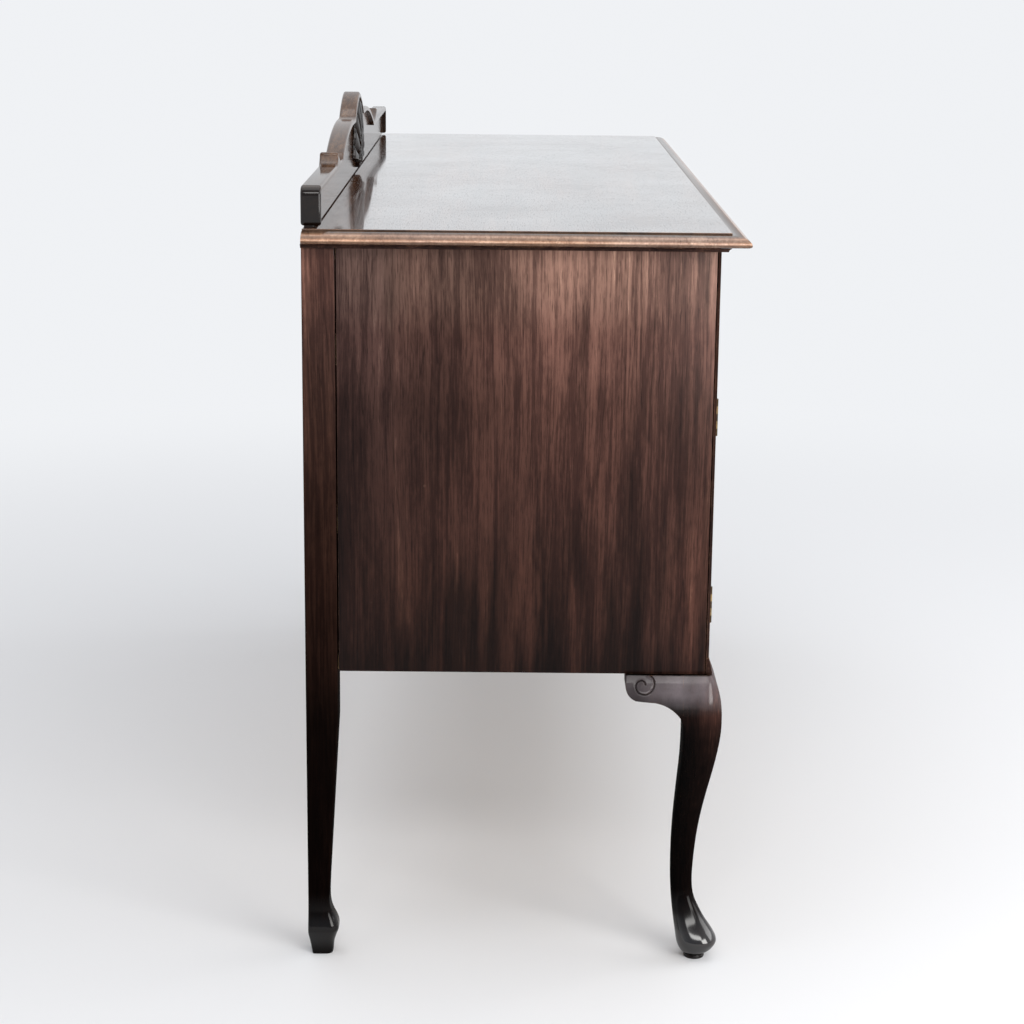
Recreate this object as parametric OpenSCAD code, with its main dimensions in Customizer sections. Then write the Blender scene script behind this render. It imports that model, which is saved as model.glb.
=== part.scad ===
// Sideboard with cabriole front legs, three drawers over two cupboards and two deep drawers.
// Millimetres. The front faces -Y, +X runs along the length, and the floor is at Z = 0.

/* [Carcase] */
// Length of the carcase between its end faces
case_length = 1474; // [1360:1:1600]
// Depth of the carcase from the back of the posts to the front face
case_depth = 500; // [450:1:560]
// Height of the carcase between the legs and the top
case_height = 531; // [500:1:580]
// Height of the legs under the carcase
leg_height = 379; // [340:1:420]
// Width of the opening between the two partitions
centre_bay = 470; // [420:1:520]
// Height of the top row of drawers
top_drawer_height = 110; // [90:1:130]
// Thickness of the end panels
end_thickness = 9; // [6:0.5:12]
// Width of the stiles on the front, and thickness of the partitions
stile_width = 24; // [20:1:30]
// Height of the rail under the top
top_rail_height = 20; // [16:1:28]
// Height of the rails between drawers and cupboards
rail_height = 18; // [14:1:24]
// Height of the rail and the moulding at the bottom of the front
base_height = 21; // [16:1:26]
// Thickness of the bottom board
bottom_thickness = 18; // [12:1:20]
// Thickness of the shelves
shelf_thickness = 16; // [12:1:20]

/* [Top] */
// Thickness of the top board
top_thickness = 18; // [16:1:24]
// How far the moulded edge stands out from the carcase
top_overhang = 33; // [28:1:40]
// Width of the moulded edge outside its fillet
mould_width = 22; // [16:1:24]
// Height of the fillet at the top of the moulded edge
mould_fillet = 2; // [1.5:0.5:6]
// Height of the bed moulding under the top
bed_height = 5; // [4:0.5:10]
// Projection of the bed moulding
bed_projection = 11; // [8:0.5:14]
// How far the top board stops short of the back of the posts
back_reveal = 2.5; // [2:0.5:5]

/* [Gallery] */
// Thickness of the gallery board
gallery_thickness = 24.5; // [20:0.5:28]
// Width of the raised rim round the gallery's face
gallery_rim = 7; // [5:0.5:9]
// Depth of the gallery's face behind its rim
gallery_recess = 6; // [3:0.5:8]
// Height of the low run of the gallery
gallery_low = 49.5; // [35:0.5:55]
// Height of the small scroll on the low run
gallery_scroll = 64.5; // [62:0.5:72]
// Height of the ledge beside the arch
gallery_ledge = 86; // [78:1:95]
// Height of the centre arch
gallery_height = 117; // [105:1:130]
// Half width of the centre arch
arch_half = 94; // [80:1:110]
// Distance from the centre to the end of the ledge
ledge_half = 155; // [130:1:180]
// Distance from the centre to the foot of the riser
riser_half = 352; // [320:1:370]
// Flat run between the riser and the small scroll
scroll_gap = 26; // [10:1:40]
// Length of the small scroll
scroll_length = 93; // [70:1:120]
// Radius of the small scroll's crest
scroll_tip = 4; // [3:0.5:5]
// Radius of the top corners of the gallery
gallery_corner = 12; // [6:1:20]
// Thickness of the carved ornament
carving_thickness = 10; // [6:1:14]
// Radius of the carved shell
shell_radius = 94; // [70:1:96]

/* [Legs] */
// Size of the rear posts
post_size = 40; // [36:1:46]
// Depth of the front leg's inner face behind the carcase face
leg_inner = 34; // [30:1:40]
// Length of the knee blocks beside the front legs
knee_block_length = 69; // [55:1:80]
// Height of the knee blocks at the scroll
knee_block_height = 33; // [28:1:42]
// Height of the knee blocks where they meet the leg
knee_block_drop = 53; // [48:1:58]
// Thickness of the knee blocks behind the carcase face
knee_block_thickness = 24; // [18:1:30]

/* [Drawers] */
// Gap around drawer fronts and doors
front_gap = 1.5; // [1:0.1:2.5]
// Thickness of drawer fronts and doors
front_thickness = 20; // [18:0.5:24]
// Thickness of the drawer sides and backs
side_thickness = 10; // [7:0.5:12]
// Thickness of the drawer bottoms
drawer_bottom = 5; // [4:0.5:8]
// Running clearance under the drawer sides
drawer_lift = 0.3; // [0.2:0.05:0.6]
// Width of the cock bead seen from the front
bead_width = 3; // [2:0.25:4]
// Projection of the cock bead
bead_projection = 1.5; // [1:0.25:2.5]
// Width of the drawer runners
runner_width = 20; // [16:1:30]
// Depth of the front rails
rail_depth = 45; // [35:1:60]

/* [Handles] */
// Distance between the two posts of a bail handle
post_pitch = 64; // [56:1:80]
// Distance of the bail's axis from the drawer front
bail_standoff = 13; // [11:0.5:15]
// Radius of the bail
bail_radius = 2.5; // [2:0.1:3]
// Drop of the bail below its axis
bail_drop = 28; // [26:1:34]
// Distance of the centre drawers' handles from the middle
handle_spread = 118; // [90:1:140]
// Thickness of the handle plates
plate_thickness = 1.5; // [1:0.1:2]
// Height of the plate's shoulders above the bail's axis
plate_rise = 20; // [17:0.5:22]
// Drop of the plate's lower tip below the bail's axis
plate_dip = 24; // [21:0.5:27]
// Reach of the plate beyond the posts
plate_reach = 20; // [16:0.5:24]
// Radius of the bolts that hold the handles
bolt_radius = 2.5; // [2:0.1:3]
// Distance of the drop's axis from the door
drop_standoff = 11; // [10:0.5:13]
// Length of the drop on the doors
drop_length = 42; // [36:1:50]

/* [Doors] */
// Width of the door's stiles and rails
frame_width = 52; // [44:1:64]
// Height of a hinge
hinge_height = 46; // [40:1:60]
// Distance of the hinge's middle from the end of the door opening
hinge_inset = 62.5; // [50:0.5:80]
// Radius of the hinge knuckle
knuckle_radius = 3.5; // [3:0.1:4.5]
// Radius of the hinge pin
pin_radius = 1.5; // [1:0.1:1.8]
// Running clearance of the door knuckles on the pins
pin_clearance = 0.05; // [0.02:0.01:0.1]

/* [Hidden] */

$fn = 48;

// Colours
mahogany = [0.36, 0.22, 0.18];
dark_mahogany = [0.20, 0.11, 0.09];
leg_brown = [0.16, 0.09, 0.08];
oak = [0.72, 0.58, 0.40];
plywood = [0.62, 0.48, 0.34];
brass_colour = [0.78, 0.62, 0.32];
steel_colour = [0.55, 0.55, 0.56];

// Main planes
half_length = case_length / 2;
total_depth = case_depth + top_overhang;
back_y = total_depth / 2;
face_y = back_y - case_depth;
case_top = leg_height + case_height;
top_surface = case_top + top_thickness;
opening_top = case_top - top_rail_height;
waist_top = opening_top - top_drawer_height;
waist_bottom = waist_top - rail_height;
opening_bottom = leg_height + base_height;
lower_height = (waist_bottom - opening_bottom - rail_height) / 2;
centre_rail_bottom = opening_bottom + lower_height;
centre_rail_top = centre_rail_bottom + rail_height;
bottom_top = leg_height + bottom_thickness;
bay_half = centre_bay / 2;
bay_outer = bay_half + stile_width;
stile_inner = half_length - stile_width;
end_bay = stile_inner - bay_outer;
end_bay_centre = (stile_inner + bay_outer) / 2;
end_inner = half_length - end_thickness;
post_inner = half_length - post_size;

// Glue line between the pieces of one sub-part
glue = 0.1;
// How far a cut runs past the piece
past = 1;

// Front construction, as depths behind the front face
lip_depth = 3.5;
quirk = 1;
stile_depth = 40;
post_gap = 1.5;
top_rail_depth = 60;

// Back construction, as distances from the back of the posts
panel_reveal = 3;
panel_thickness = 5;
back_rail_thickness = 20;
back_rail_height = 40;
panel_front = panel_reveal + panel_thickness;
rail_front = panel_front + back_rail_thickness;
screw_radius = 1.5;
screw_head_radius = 3.2;
screw_head_height = 1.2;
screw_length = 14;
screw_rows = 9;

// Knee of the front leg: drop below the carcase, projection of the outer face
knee_profile = [[0, 4.5], [9, 9], [21, 14], [33, 17], [46, 18.4], [53, 18.7], [59.5, 18.8], [73, 18.4]];

// Front leg stations: height, projection of the outer face, depth of the inner face,
// radius of the outer corner, radius of the other corners
front_foot = [
  [0, 6, 20, 12.4, 12.4], [3, 6.5, 20.5, 12.9, 12.9], [4, 5, 19, 11.4, 11.4], [10, 12, 25, 17, 17.5],
  [17, 17.6, 28.5, 21, 22], [24, 20.6, 30.5, 22, 24.5], [30, 19.5, 31.5, 22, 24.5],
  [37.5, 14.7, 32.6, 19, 22], [47, 7.2, 34, 15, 19], [58, 0.4, 35.3, 12, 16],
  [68, -5.2, 36.5, 11, 14], [78.5, -9.2, 37.3, 11, 12], [92, -10.9, 38.2, 11, 11],
  [106, -11.2, 39, 11, 11]
];
// The same for the shank, with heights as shares of the stretch between foot and knee
shank_share = [
  [0.144, -9.8, 39.2, 11, 10], [0.289, -7.4, 38.9, 12, 10], [0.433, -3.6, 37.6, 13, 9],
  [0.575, 1.4, 35.7, 14, 8], [0.717, 7.1, 33.6, 15, 7], [0.859, 12.7, 31.2, 15, 6]
];
// The same for the knee, with drops below the carcase in place of heights
front_knee = [
  [86, 17.1, 30.4, 15, 5], [73, 18.4, 30.2, 15, 5], [59.5, 18.8, 31.2, 14, 4],
  [53, 18.7, leg_inner, 14, 3], [46, 18.4, leg_inner, 13, 3], [33, 17, leg_inner, 12, 3],
  [21, 14, leg_inner, 10, 3], [9, 9, leg_inner, 8, 3], [0, 4.5, leg_inner, 6, 3]
];
foot_top = 106;
knee_low = 86;
shank_height = leg_height - foot_top - knee_low;

// Rear leg stations: height, projection to the side, inner face across, front face in depth,
// corner radius
rear_foot = [
  [0, 0, 28, 31, 9], [12, 0, 29, 31.5, 9], [26, 5, 32, 35.5, 11], [33, 8, 34, 38.4, 12],
  [40, 7.4, 34, 38.2, 12], [47, 5, 33, 35.6, 11], [54, 2.6, 32, 31.6, 9],
  [60, 1.2, 31, 29, 7], [74, 0, 30, 26.9, 4]
];
rear_ankle_height = 101;
rear_ankle = [30, 27.9];
rear_knee_drop = 64;
rear_taper = leg_height - rear_knee_drop - rear_ankle_height;
foot_chamfer = 5;

// Sections

// Block between two values on each axis
module slab(x, y, z) {
  translate([min(x), min(y), min(z)]) cube([max(x) - min(x), max(y) - min(y), max(z) - min(z)]);
}

// Block given by its depth behind the front face
module front_slab(x, depth, z) {
  slab(x, [face_y + depth[0], face_y + depth[1]], z);
}

// The same shape at both ends
module both_ends() {
  children();
  mirror([1, 0, 0]) children();
}

// Points from p towards q on a curve that bows out by s on its left
function bow(p, q, s, n) = [
  for (i = [0 : n - 1]) let (
    t = i / n,
    d = q - p,
    side = [-d[1], d[0]] / norm(d)
  ) p + d * t + side * 4 * s * t * (1 - t)
];

// Points of an ellipse's arc
function arc(c, rx, ry, a0, a1, n) = [
  for (i = [0 : n]) let (a = a0 + (a1 - a0) * i / n) c + [rx * cos(a), ry * sin(a)]
];

function flip(points) = [for (i = [len(points) - 1 : -1 : 0]) [-points[i][0], points[i][1]]];

// Closed ring of a rounded rectangle, with its own radius at each corner
corner_steps = 5;
function ring(x0, x1, y0, y1, r00, r10, r11, r01, z) = [
  for (c = [
    [x0 + r00, y0 + r00, r00, 180], [x1 - r10, y0 + r10, r10, 270],
    [x1 - r11, y1 - r11, r11, 0], [x0 + r01, y1 - r01, r01, 90]
  ]) for (i = [0 : corner_steps]) let (a = c[3] + 90 * i / corner_steps)
    [c[0] + c[2] * cos(a), c[1] + c[2] * sin(a), z]
];

// Solid through a stack of rings, lowest first
module loft(rings) {
  n = len(rings[0]);
  m = len(rings);
  polyhedron(
    points = [for (r = rings) for (p = r) p],
    faces = concat(
      [[for (i = [0 : n - 1]) i]],
      [for (k = [0 : m - 2]) for (i = [0 : n - 1]) let (j = (i + 1) % n)
        for (f = [[k * n + i, (k + 1) * n + i, (k + 1) * n + j], [k * n + i, (k + 1) * n + j, k * n + j]]) f],
      [[for (i = [n - 1 : -1 : 0]) (m - 1) * n + i]]
    )
  );
}

// Top

// Edge moulding of the top: distance outside the carcase, height above the underside
mould_step = top_overhang - mould_width;
nose_height = top_thickness * 0.28;
edge_profile = concat(
  [[-30, 0], [bed_projection - 1, 0]],
  [[top_overhang - 8, 2]],
  arc([top_overhang - 8, nose_height], 8, nose_height - 2, -75, 0, 5),
  arc([mould_step + 1, nose_height], mould_width - 1, top_thickness - mould_fillet - nose_height, 9, 90, 9),
  [[mould_step, top_thickness - mould_fillet], [mould_step, top_thickness], [-30, top_thickness]]
);

module top_board() {
  color(mahogany)
  translate([0, 0, case_top])
  intersection() {
    // Front edge with its moulding, straight at the back
    translate([-half_length - top_overhang, 0, 0])
    rotate([90, 0, 90])
    linear_extrude(case_length + 2 * top_overhang)
    polygon(concat(
      [for (p = edge_profile) [face_y - p[0], p[1]]],
      [[back_y - back_reveal, top_thickness], [back_y - back_reveal, 0]]
    ));
    // Both ends with the same moulding
    translate([0, back_y, 0])
    rotate([90, 0, 0])
    linear_extrude(total_depth)
    polygon(concat(
      [for (p = edge_profile) [half_length + p[0], p[1]]],
      [for (i = [len(edge_profile) - 1 : -1 : 0]) [-half_length - edge_profile[i][0], edge_profile[i][1]]]
    ));
  }
}

bed_profile = [
  [0, 0], [bed_projection, 0], [bed_projection, -bed_height * 0.2],
  [bed_projection * 0.84, -bed_height * 0.36], [bed_projection * 0.75, -bed_height * 0.6],
  [bed_projection * 0.7, -bed_height], [0, -bed_height]
];

module bed_moulding() {
  reach = bed_projection + 5;
  color(dark_mahogany) {
    // Front length, mitred at both ends
    intersection() {
      translate([-half_length - reach, face_y, case_top])
      rotate([90, 0, 90])
      linear_extrude(case_length + 2 * reach)
      polygon([for (p = bed_profile) [-p[0], p[1]]]);
      translate([0, face_y, case_top - bed_height - 1])
      linear_extrude(bed_height + 2)
      polygon([
        [-half_length - reach, -reach], [half_length + reach, -reach],
        [half_length - reach, reach], [-half_length + reach, reach]
      ]);
    }
    // Lengths along the ends, mitred at the front
    both_ends()
    intersection() {
      translate([-half_length, back_y, case_top])
      rotate([90, 0, 0])
      linear_extrude(total_depth)
      polygon([for (p = bed_profile) [-p[0], p[1]]]);
      translate([-half_length, face_y, case_top - bed_height - 1])
      linear_extrude(bed_height + 2)
      polygon([[-reach, glue - reach], [reach, glue + reach], [reach, case_depth], [-reach, case_depth]]);
    }
  }
}

// Gallery

// Half of the gallery's outline, from the centre to the end, above the top surface
scroll_start = riser_half + 4 + scroll_gap;
scroll_end = scroll_start + scroll_length;
scroll_crest = scroll_start + scroll_length * 0.66;
gallery_half = concat(
  bow([0, gallery_height], [arch_half, gallery_ledge], 5, 8),
  [[arch_half, gallery_ledge]],
  bow([ledge_half, gallery_ledge], [riser_half, gallery_low + 4], 7, 10),
  [[riser_half, gallery_low + 4], [riser_half + 4, gallery_low]],
  bow([scroll_start, gallery_low], [scroll_crest - scroll_tip, gallery_scroll - 1], -2.5, 6),
  arc([scroll_crest, gallery_scroll - scroll_tip], scroll_tip, scroll_tip, 120, 20, 4),
  bow([scroll_crest + scroll_tip, gallery_scroll - scroll_tip], [scroll_end, gallery_low], -3.5, 5),
  [[scroll_end, gallery_low]],
  arc([half_length - gallery_corner, gallery_low - gallery_corner], gallery_corner, gallery_corner, 90, 0, 4),
  [[half_length, 0]]
);

// Outline of the gallery seen from the front
module gallery_outline() {
  polygon(concat(gallery_half, flip([for (i = [1 : len(gallery_half) - 1]) gallery_half[i]])));
}

gallery_face = back_y - gallery_thickness;

// Half of the outline of the recessed face, inside the rim
inner_low = gallery_low - gallery_rim;
inner_ledge = gallery_ledge - gallery_rim;
inner_end = half_length - gallery_rim;
gallery_inner = concat(
  bow([0, gallery_height - gallery_rim], [arch_half, inner_ledge], 5, 8),
  [[arch_half, inner_ledge]],
  bow([ledge_half - 2, inner_ledge], [riser_half - 2, inner_low + 4], 7, 10),
  [[riser_half - 2, inner_low + 4], [riser_half + 3, inner_low]],
  [[inner_end - 5, inner_low], [inner_end, inner_low - 5], [inner_end, -past]]
);

module gallery_board() {
  color(mahogany)
  difference() {
    translate([0, back_y, top_surface])
    rotate([90, 0, 0])
    linear_extrude(gallery_thickness) gallery_outline();
    // Recessed face
    translate([0, gallery_face + gallery_recess, top_surface])
    rotate([90, 0, 0])
    linear_extrude(gallery_recess + past)
    polygon(concat(gallery_inner, flip([for (i = [1 : len(gallery_inner) - 1]) gallery_inner[i]])));
    // Housings for the straps
    for (x = strap_places)
      slab([x - strap_width / 2 - glue, x + strap_width / 2 + glue], [back_y - back_reveal, back_y + past],
        [top_surface - past, top_surface + strap_above + glue]);
    strap_holes();
  }
}

shell_ribs = 9;
shell_foot = 14;

// Fluted fan of the shell
function shell_edge(a) = shell_radius * (0.95 + 0.05 * abs(cos((a - 90) * shell_ribs)));

// Shell on the recessed face, standing on a small lobe
module gallery_carving() {
  color(dark_mahogany)
  translate([0, gallery_face + gallery_recess, top_surface + shell_foot])
  rotate([90, 0, 0])
  linear_extrude(carving_thickness)
  polygon(concat(
    [[-5, -8], [-12, -2]],
    [for (a = [172 : -4 : 8]) shell_edge(a) * [cos(a), sin(a)]],
    [[12, -2], [5, -8]]
  ));
}

strap_width = 30;
strap_thickness = 1.2;
strap_above = 38;
strap_below = 25;
strap_places = [-half_length * 0.62, 0, half_length * 0.62];
strap_screw_zs = [case_top - 14, top_surface + 12, top_surface + 28];
strap_face = back_y - back_reveal + strap_thickness;

// Holes for the screws of the straps, from outside inwards
module strap_holes() {
  for (x = strap_places)
    for (z = strap_screw_zs)
      translate([x, strap_face + 1, z])
      rotate([90, 0, 0]) cylinder(r = screw_radius, h = screw_length + 1);
}

// Flat steel straps that hold the gallery board to the upper back rail
module gallery_straps() {
  color(steel_colour)
  difference() {
    for (x = strap_places)
      slab([x - strap_width / 2, x + strap_width / 2], [back_y - back_reveal, strap_face],
        [case_top - strap_below, top_surface + strap_above]);
    strap_holes();
  }
  for (x = strap_places)
    for (z = strap_screw_zs)
      translate([x, strap_face, z]) rotate([90, 0, 0]) wood_screw(screw_length);
}

// Flat-headed screw with its head's underside at the origin, pointing up
module wood_screw(length) {
  color(steel_colour) {
    cylinder(r = screw_radius, h = length);
    translate([0, 0, -screw_head_height]) cylinder(r = screw_head_radius, h = screw_head_height);
  }
}

// Ends

module left_end_panel() {
  color(mahogany)
  slab([-half_length, -end_inner],
    [face_y + lip_depth + quirk, back_y - post_size - post_gap],
    [leg_height, case_top]);
}

module right_end_panel() {
  mirror([1, 0, 0]) left_end_panel();
}

// Rear leg

rear_rings = concat(
  [for (s = rear_foot) [s[0], s[1], s[2], s[3], s[4], max(0, foot_chamfer - s[0] / 6)]],
  [for (t = [0, 0.25, 0.5, 0.75]) [
    rear_ankle_height + rear_taper * t, 0,
    rear_ankle[0] + (post_size - rear_ankle[0]) * t,
    rear_ankle[1] + (post_size - rear_ankle[1]) * t,
    3 - 1.5 * t, 0
  ]],
  [for (z = [leg_height - rear_knee_drop, case_top]) [z, 0, post_size, post_size, 1.5, 0]]
);

module rear_left_leg() {
  color(leg_brown)
  loft([for (s = rear_rings)
    ring(-half_length - s[1], -half_length + s[2], back_y - s[3], back_y - s[5],
      s[4], s[4], min(s[4], 3), min(s[4], 3), s[0])]);
}

module rear_right_leg() {
  mirror([1, 0, 0]) rear_left_leg();
}

// Front leg

front_rings = concat(
  front_foot,
  [for (s = shank_share) [foot_top + shank_height * s[0], s[1], s[2], s[3], s[4]]],
  [for (s = front_knee) [leg_height - s[0], s[1], s[2], s[3], s[4]]]
);

module front_left_leg() {
  color(leg_brown)
  loft([for (s = front_rings)
    ring(-half_length - s[1], -half_length + s[2], face_y - s[1], face_y + s[2],
      s[3], s[4], s[4], s[4], s[0])]);
}

module front_right_leg() {
  mirror([1, 0, 0]) front_left_leg();
}

// Knee blocks

// Outline seen from the end: distance behind the leg's inner face, drop below the carcase
block_cove = [knee_block_length - 36, -knee_block_height];
block_end = [knee_block_length - 13, 2 - knee_block_height];
block_outline = concat(
  [[0, 0], [knee_block_length, 0]],
  bow([knee_block_length, -knee_block_height / 3], block_end, 4.2, 6),
  bow(block_end, block_cove, 0.2, 3),
  bow(block_cove, [0, -knee_block_drop], -4, 8),
  [[0, -knee_block_drop]]
);

// Block on the end, beside the left front leg, its outer face following the knee
module knee_block() {
  intersection() {
    translate([-half_length - 30, face_y + leg_inner, leg_height])
    rotate([90, 0, 90])
    linear_extrude(30 + knee_block_thickness)
    polygon(block_outline);
    translate([-half_length, back_y, leg_height])
    rotate([90, 0, 0])
    linear_extrude(total_depth)
    polygon(concat(
      [for (p = knee_profile) [-p[1], -p[0]]],
      [[knee_block_thickness, -knee_profile[len(knee_profile) - 1][0]], [knee_block_thickness, 0]]
    ));
  }
}

// Two blocks at each front leg: one on the end and the same one turned onto the front
module knee_blocks() {
  color(leg_brown)
  both_ends() {
    knee_block();
    translate([-half_length, face_y, 0])
    mirror([1, -1, 0])
    translate([half_length, -face_y, 0])
    knee_block();
  }
}

// Front frame

module corner_stiles() {
  color(dark_mahogany)
  both_ends()
  difference() {
    union() {
      front_slab([-half_length, -stile_inner], [0, lip_depth], [opening_bottom, case_top]);
      front_slab([-end_inner, -stile_inner], [lip_depth, stile_depth], [leg_height, case_top]);
    }
    hinge_cuts(1);
  }
}

module division_stiles() {
  color(dark_mahogany)
  both_ends()
  front_slab([-bay_outer, -bay_half], [0, stile_width], [opening_bottom, opening_top]);
}

module partitions() {
  color(oak)
  both_ends()
  union() {
    front_slab([-bay_outer, -bay_half], [stile_width, case_depth - rail_front], [bottom_top, opening_top]);
    front_slab([-bay_outer, -bay_half], [case_depth - rail_front, case_depth - panel_front],
      [leg_height + back_rail_height, case_top - back_rail_height]);
  }
}

module top_rail() {
  color(dark_mahogany)
  front_slab([-stile_inner, stile_inner], [0, top_rail_depth], [opening_top, case_top]);
}

module drawer_rails() {
  color(dark_mahogany) {
    both_ends()
    front_slab([-stile_inner, -bay_outer], [0, rail_depth], [waist_bottom, waist_top]);
    front_slab([-bay_half, bay_half], [0, rail_depth], [waist_bottom, waist_top]);
    front_slab([-bay_half, bay_half], [0, rail_depth], [centre_rail_bottom, centre_rail_top]);
  }
}

module bottom_rail() {
  color(dark_mahogany)
  front_slab([-stile_inner, stile_inner], [lip_depth, stile_width], [leg_height, opening_bottom]);
}

// Base moulding: projection, height above the carcase's underside
base_profile = [
  [-lip_depth, 0], [4.6, 0], [4.4, base_height * 0.15], [3.2, base_height * 0.45],
  [1.8, base_height * 0.75], [0.8, base_height * 0.95], [0.4, base_height], [-lip_depth, base_height]
];

module base_moulding() {
  color(dark_mahogany)
  translate([-half_length, face_y, leg_height])
  rotate([90, 0, 90])
  linear_extrude(case_length)
  polygon([for (p = base_profile) [-p[0], p[1]]]);
}

// Inside

module bottom_board() {
  color(oak)
  difference() {
    front_slab([-end_inner, end_inner], [stile_width, case_depth - rail_front], [leg_height, bottom_top]);
    both_ends() {
      front_slab([-half_length, -stile_inner], [0, stile_depth], [leg_height - 1, bottom_top + 1]);
      front_slab([-half_length, -post_inner], [case_depth - post_size, case_depth],
        [leg_height - 1, bottom_top + 1]);
    }
  }
}

dust_thickness = 6;

module dust_boards() {
  color(plywood) {
    both_ends()
    front_slab([-end_runner_inner, -bay_outer - runner_width], [rail_depth, case_depth - panel_front],
      [waist_bottom + dust_thickness, waist_bottom + 2 * dust_thickness]);
    for (z = [waist_bottom, centre_rail_bottom])
      front_slab([-bay_half + runner_width, bay_half - runner_width], [rail_depth, case_depth - panel_front],
        [z + dust_thickness, z + 2 * dust_thickness]);
  }
}

guide_height = 20;
guide_clearance = 0.4;
end_runner_inner = stile_inner - runner_width;
front_post_clear = case_depth - post_size;

module drawer_runners() {
  to_back = [rail_depth, case_depth - panel_front];
  color(oak)
  both_ends() {
    // Runner and guide beside the end panel, as far as the post
    front_slab([-end_inner, -end_runner_inner], [rail_depth, front_post_clear], [waist_bottom, waist_top]);
    front_slab([-end_inner, -stile_inner - guide_clearance], [rail_depth, front_post_clear],
      [waist_top + glue, waist_top + guide_height]);
    // Runners beside the partition
    front_slab([-bay_outer - runner_width, -bay_outer], to_back, [waist_bottom, waist_top]);
    front_slab([-bay_half, -bay_half + runner_width], to_back, [waist_bottom, waist_top]);
    front_slab([-bay_half, -bay_half + runner_width], to_back, [centre_rail_bottom, centre_rail_top]);
    front_slab([-bay_half, -bay_half + runner_width], [stile_width, case_depth - rail_front],
      [bottom_top, opening_bottom]);
  }
}

module kickers() {
  color(oak)
  both_ends() {
    front_slab([-end_inner, -end_runner_inner], [top_rail_depth, front_post_clear], [opening_top, case_top]);
    front_slab([-bay_outer - runner_width, -bay_half + runner_width],
      [top_rail_depth, case_depth - rail_front], [opening_top, case_top]);
  }
}

shelf_bottom = (opening_bottom + waist_bottom - shelf_thickness) / 2;
shelf_front = 60;
bearer_height = 20;
bearer_width = 14;

module shelves() {
  color(plywood)
  both_ends()
  front_slab([-end_inner, -bay_outer], [shelf_front, front_post_clear],
    [shelf_bottom, shelf_bottom + shelf_thickness]);
}

module shelf_bearers() {
  color(oak)
  both_ends() {
    front_slab([-end_inner, -end_inner + bearer_width], [shelf_front, front_post_clear],
      [shelf_bottom - bearer_height, shelf_bottom]);
    front_slab([-bay_outer - bearer_width, -bay_outer], [shelf_front, front_post_clear],
      [shelf_bottom - bearer_height, shelf_bottom]);
  }
}

stop_length = 60;
stop_height = 10;
stop_depth = 12;
stop_clearance = 0.3;

module door_stops() {
  color(oak)
  both_ends()
  front_slab([-bay_outer - stop_length - 12, -bay_outer - 12],
    [front_thickness + stop_clearance, front_thickness + stop_clearance + stop_depth],
    [waist_bottom - stop_height, waist_bottom]);
}

// Back

back_span = post_inner - 0.5;
screw_xs = [for (i = [0 : screw_rows - 1]) -back_span + 24 + (2 * back_span - 48) * i / (screw_rows - 1)];
screw_zs = [leg_height + back_rail_height / 2, case_top - back_rail_height + 8];

// Holes for the screws of the back, from outside inwards
module back_holes() {
  for (x = screw_xs)
    for (z = screw_zs)
      translate([x, back_y - panel_reveal + 1, z])
      rotate([90, 0, 0]) cylinder(r = screw_radius, h = screw_length + 1);
}

module back_panel() {
  color(plywood)
  difference() {
    slab([-back_span, back_span], [back_y - panel_front, back_y - panel_reveal],
      [leg_height + 2, case_top - 2]);
    back_holes();
    strap_holes();
  }
}

module back_rails() {
  color(oak)
  difference() {
    union() {
      for (z = [leg_height, case_top - back_rail_height])
        slab([-post_inner, post_inner], [back_y - rail_front, back_y - panel_front],
          [z, z + back_rail_height]);
    }
    back_holes();
    strap_holes();
  }
}

module back_screws() {
  for (x = screw_xs)
    for (z = screw_zs)
      translate([x, back_y - panel_reveal, z])
      rotate([90, 0, 0]) wood_screw(screw_length);
}

// Hinges

hinge_zs = [opening_bottom + hinge_inset, waist_bottom - hinge_inset];
hinge_x = -stile_inner + front_gap / 2;
hinge_depth = -0.5;
knuckles = 5;
knuckle_gap = 0.3;
knuckle_pitch = hinge_height / knuckles;
leaf_thickness = 1.4;
leaf_depth = 17;
cut_clearance = 0.4;
pin_fit = 0.02;
leaf_start = knuckle_radius + cut_clearance;

// Place a shape at each hinge of the left door, with the pin's axis at the origin
module at_hinges() {
  for (z = hinge_zs)
    translate([hinge_x, face_y + hinge_depth, z - hinge_height / 2]) children();
}

// Room for the knuckles and one leaf: side is 1 for the stile and -1 for the door
module hinge_cuts(side) {
  at_hinges() {
    translate([0, 0, -cut_clearance])
    cylinder(r = knuckle_radius + cut_clearance, h = hinge_height + 2 * cut_clearance);
    slab([-side * front_gap / 2, -side * (front_gap / 2 + leaf_thickness)],
      [0, leaf_depth - hinge_depth + cut_clearance / 2], [0, hinge_height]);
  }
}

// One leaf with its knuckles; the fixed leaf has the even knuckles
module hinge_leaf(side, first) {
  bore = pin_radius + (side > 0 ? pin_fit : pin_clearance);
  difference() {
    union() {
      slab([-side * front_gap / 2, -side * (front_gap / 2 + leaf_thickness)],
        [leaf_start, leaf_depth - hinge_depth], [0, hinge_height]);
      for (i = [first : 2 : knuckles - 1])
        translate([0, 0, i * knuckle_pitch + knuckle_gap / 2]) {
          cylinder(r = knuckle_radius, h = knuckle_pitch - knuckle_gap);
          slab([-side * front_gap / 2, -side * (front_gap / 2 + leaf_thickness)],
            [0, leaf_start], [0, knuckle_pitch - knuckle_gap]);
        }
    }
    translate([0, 0, -past]) cylinder(r = bore, h = hinge_height + 2 * past);
  }
}

module fixed_hinge_leaves() {
  color(brass_colour) both_ends() at_hinges() hinge_leaf(1, 0);
}

module hinge_pins() {
  color(brass_colour) both_ends() at_hinges() cylinder(r = pin_radius, h = hinge_height);
}

// Bail handles

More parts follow.
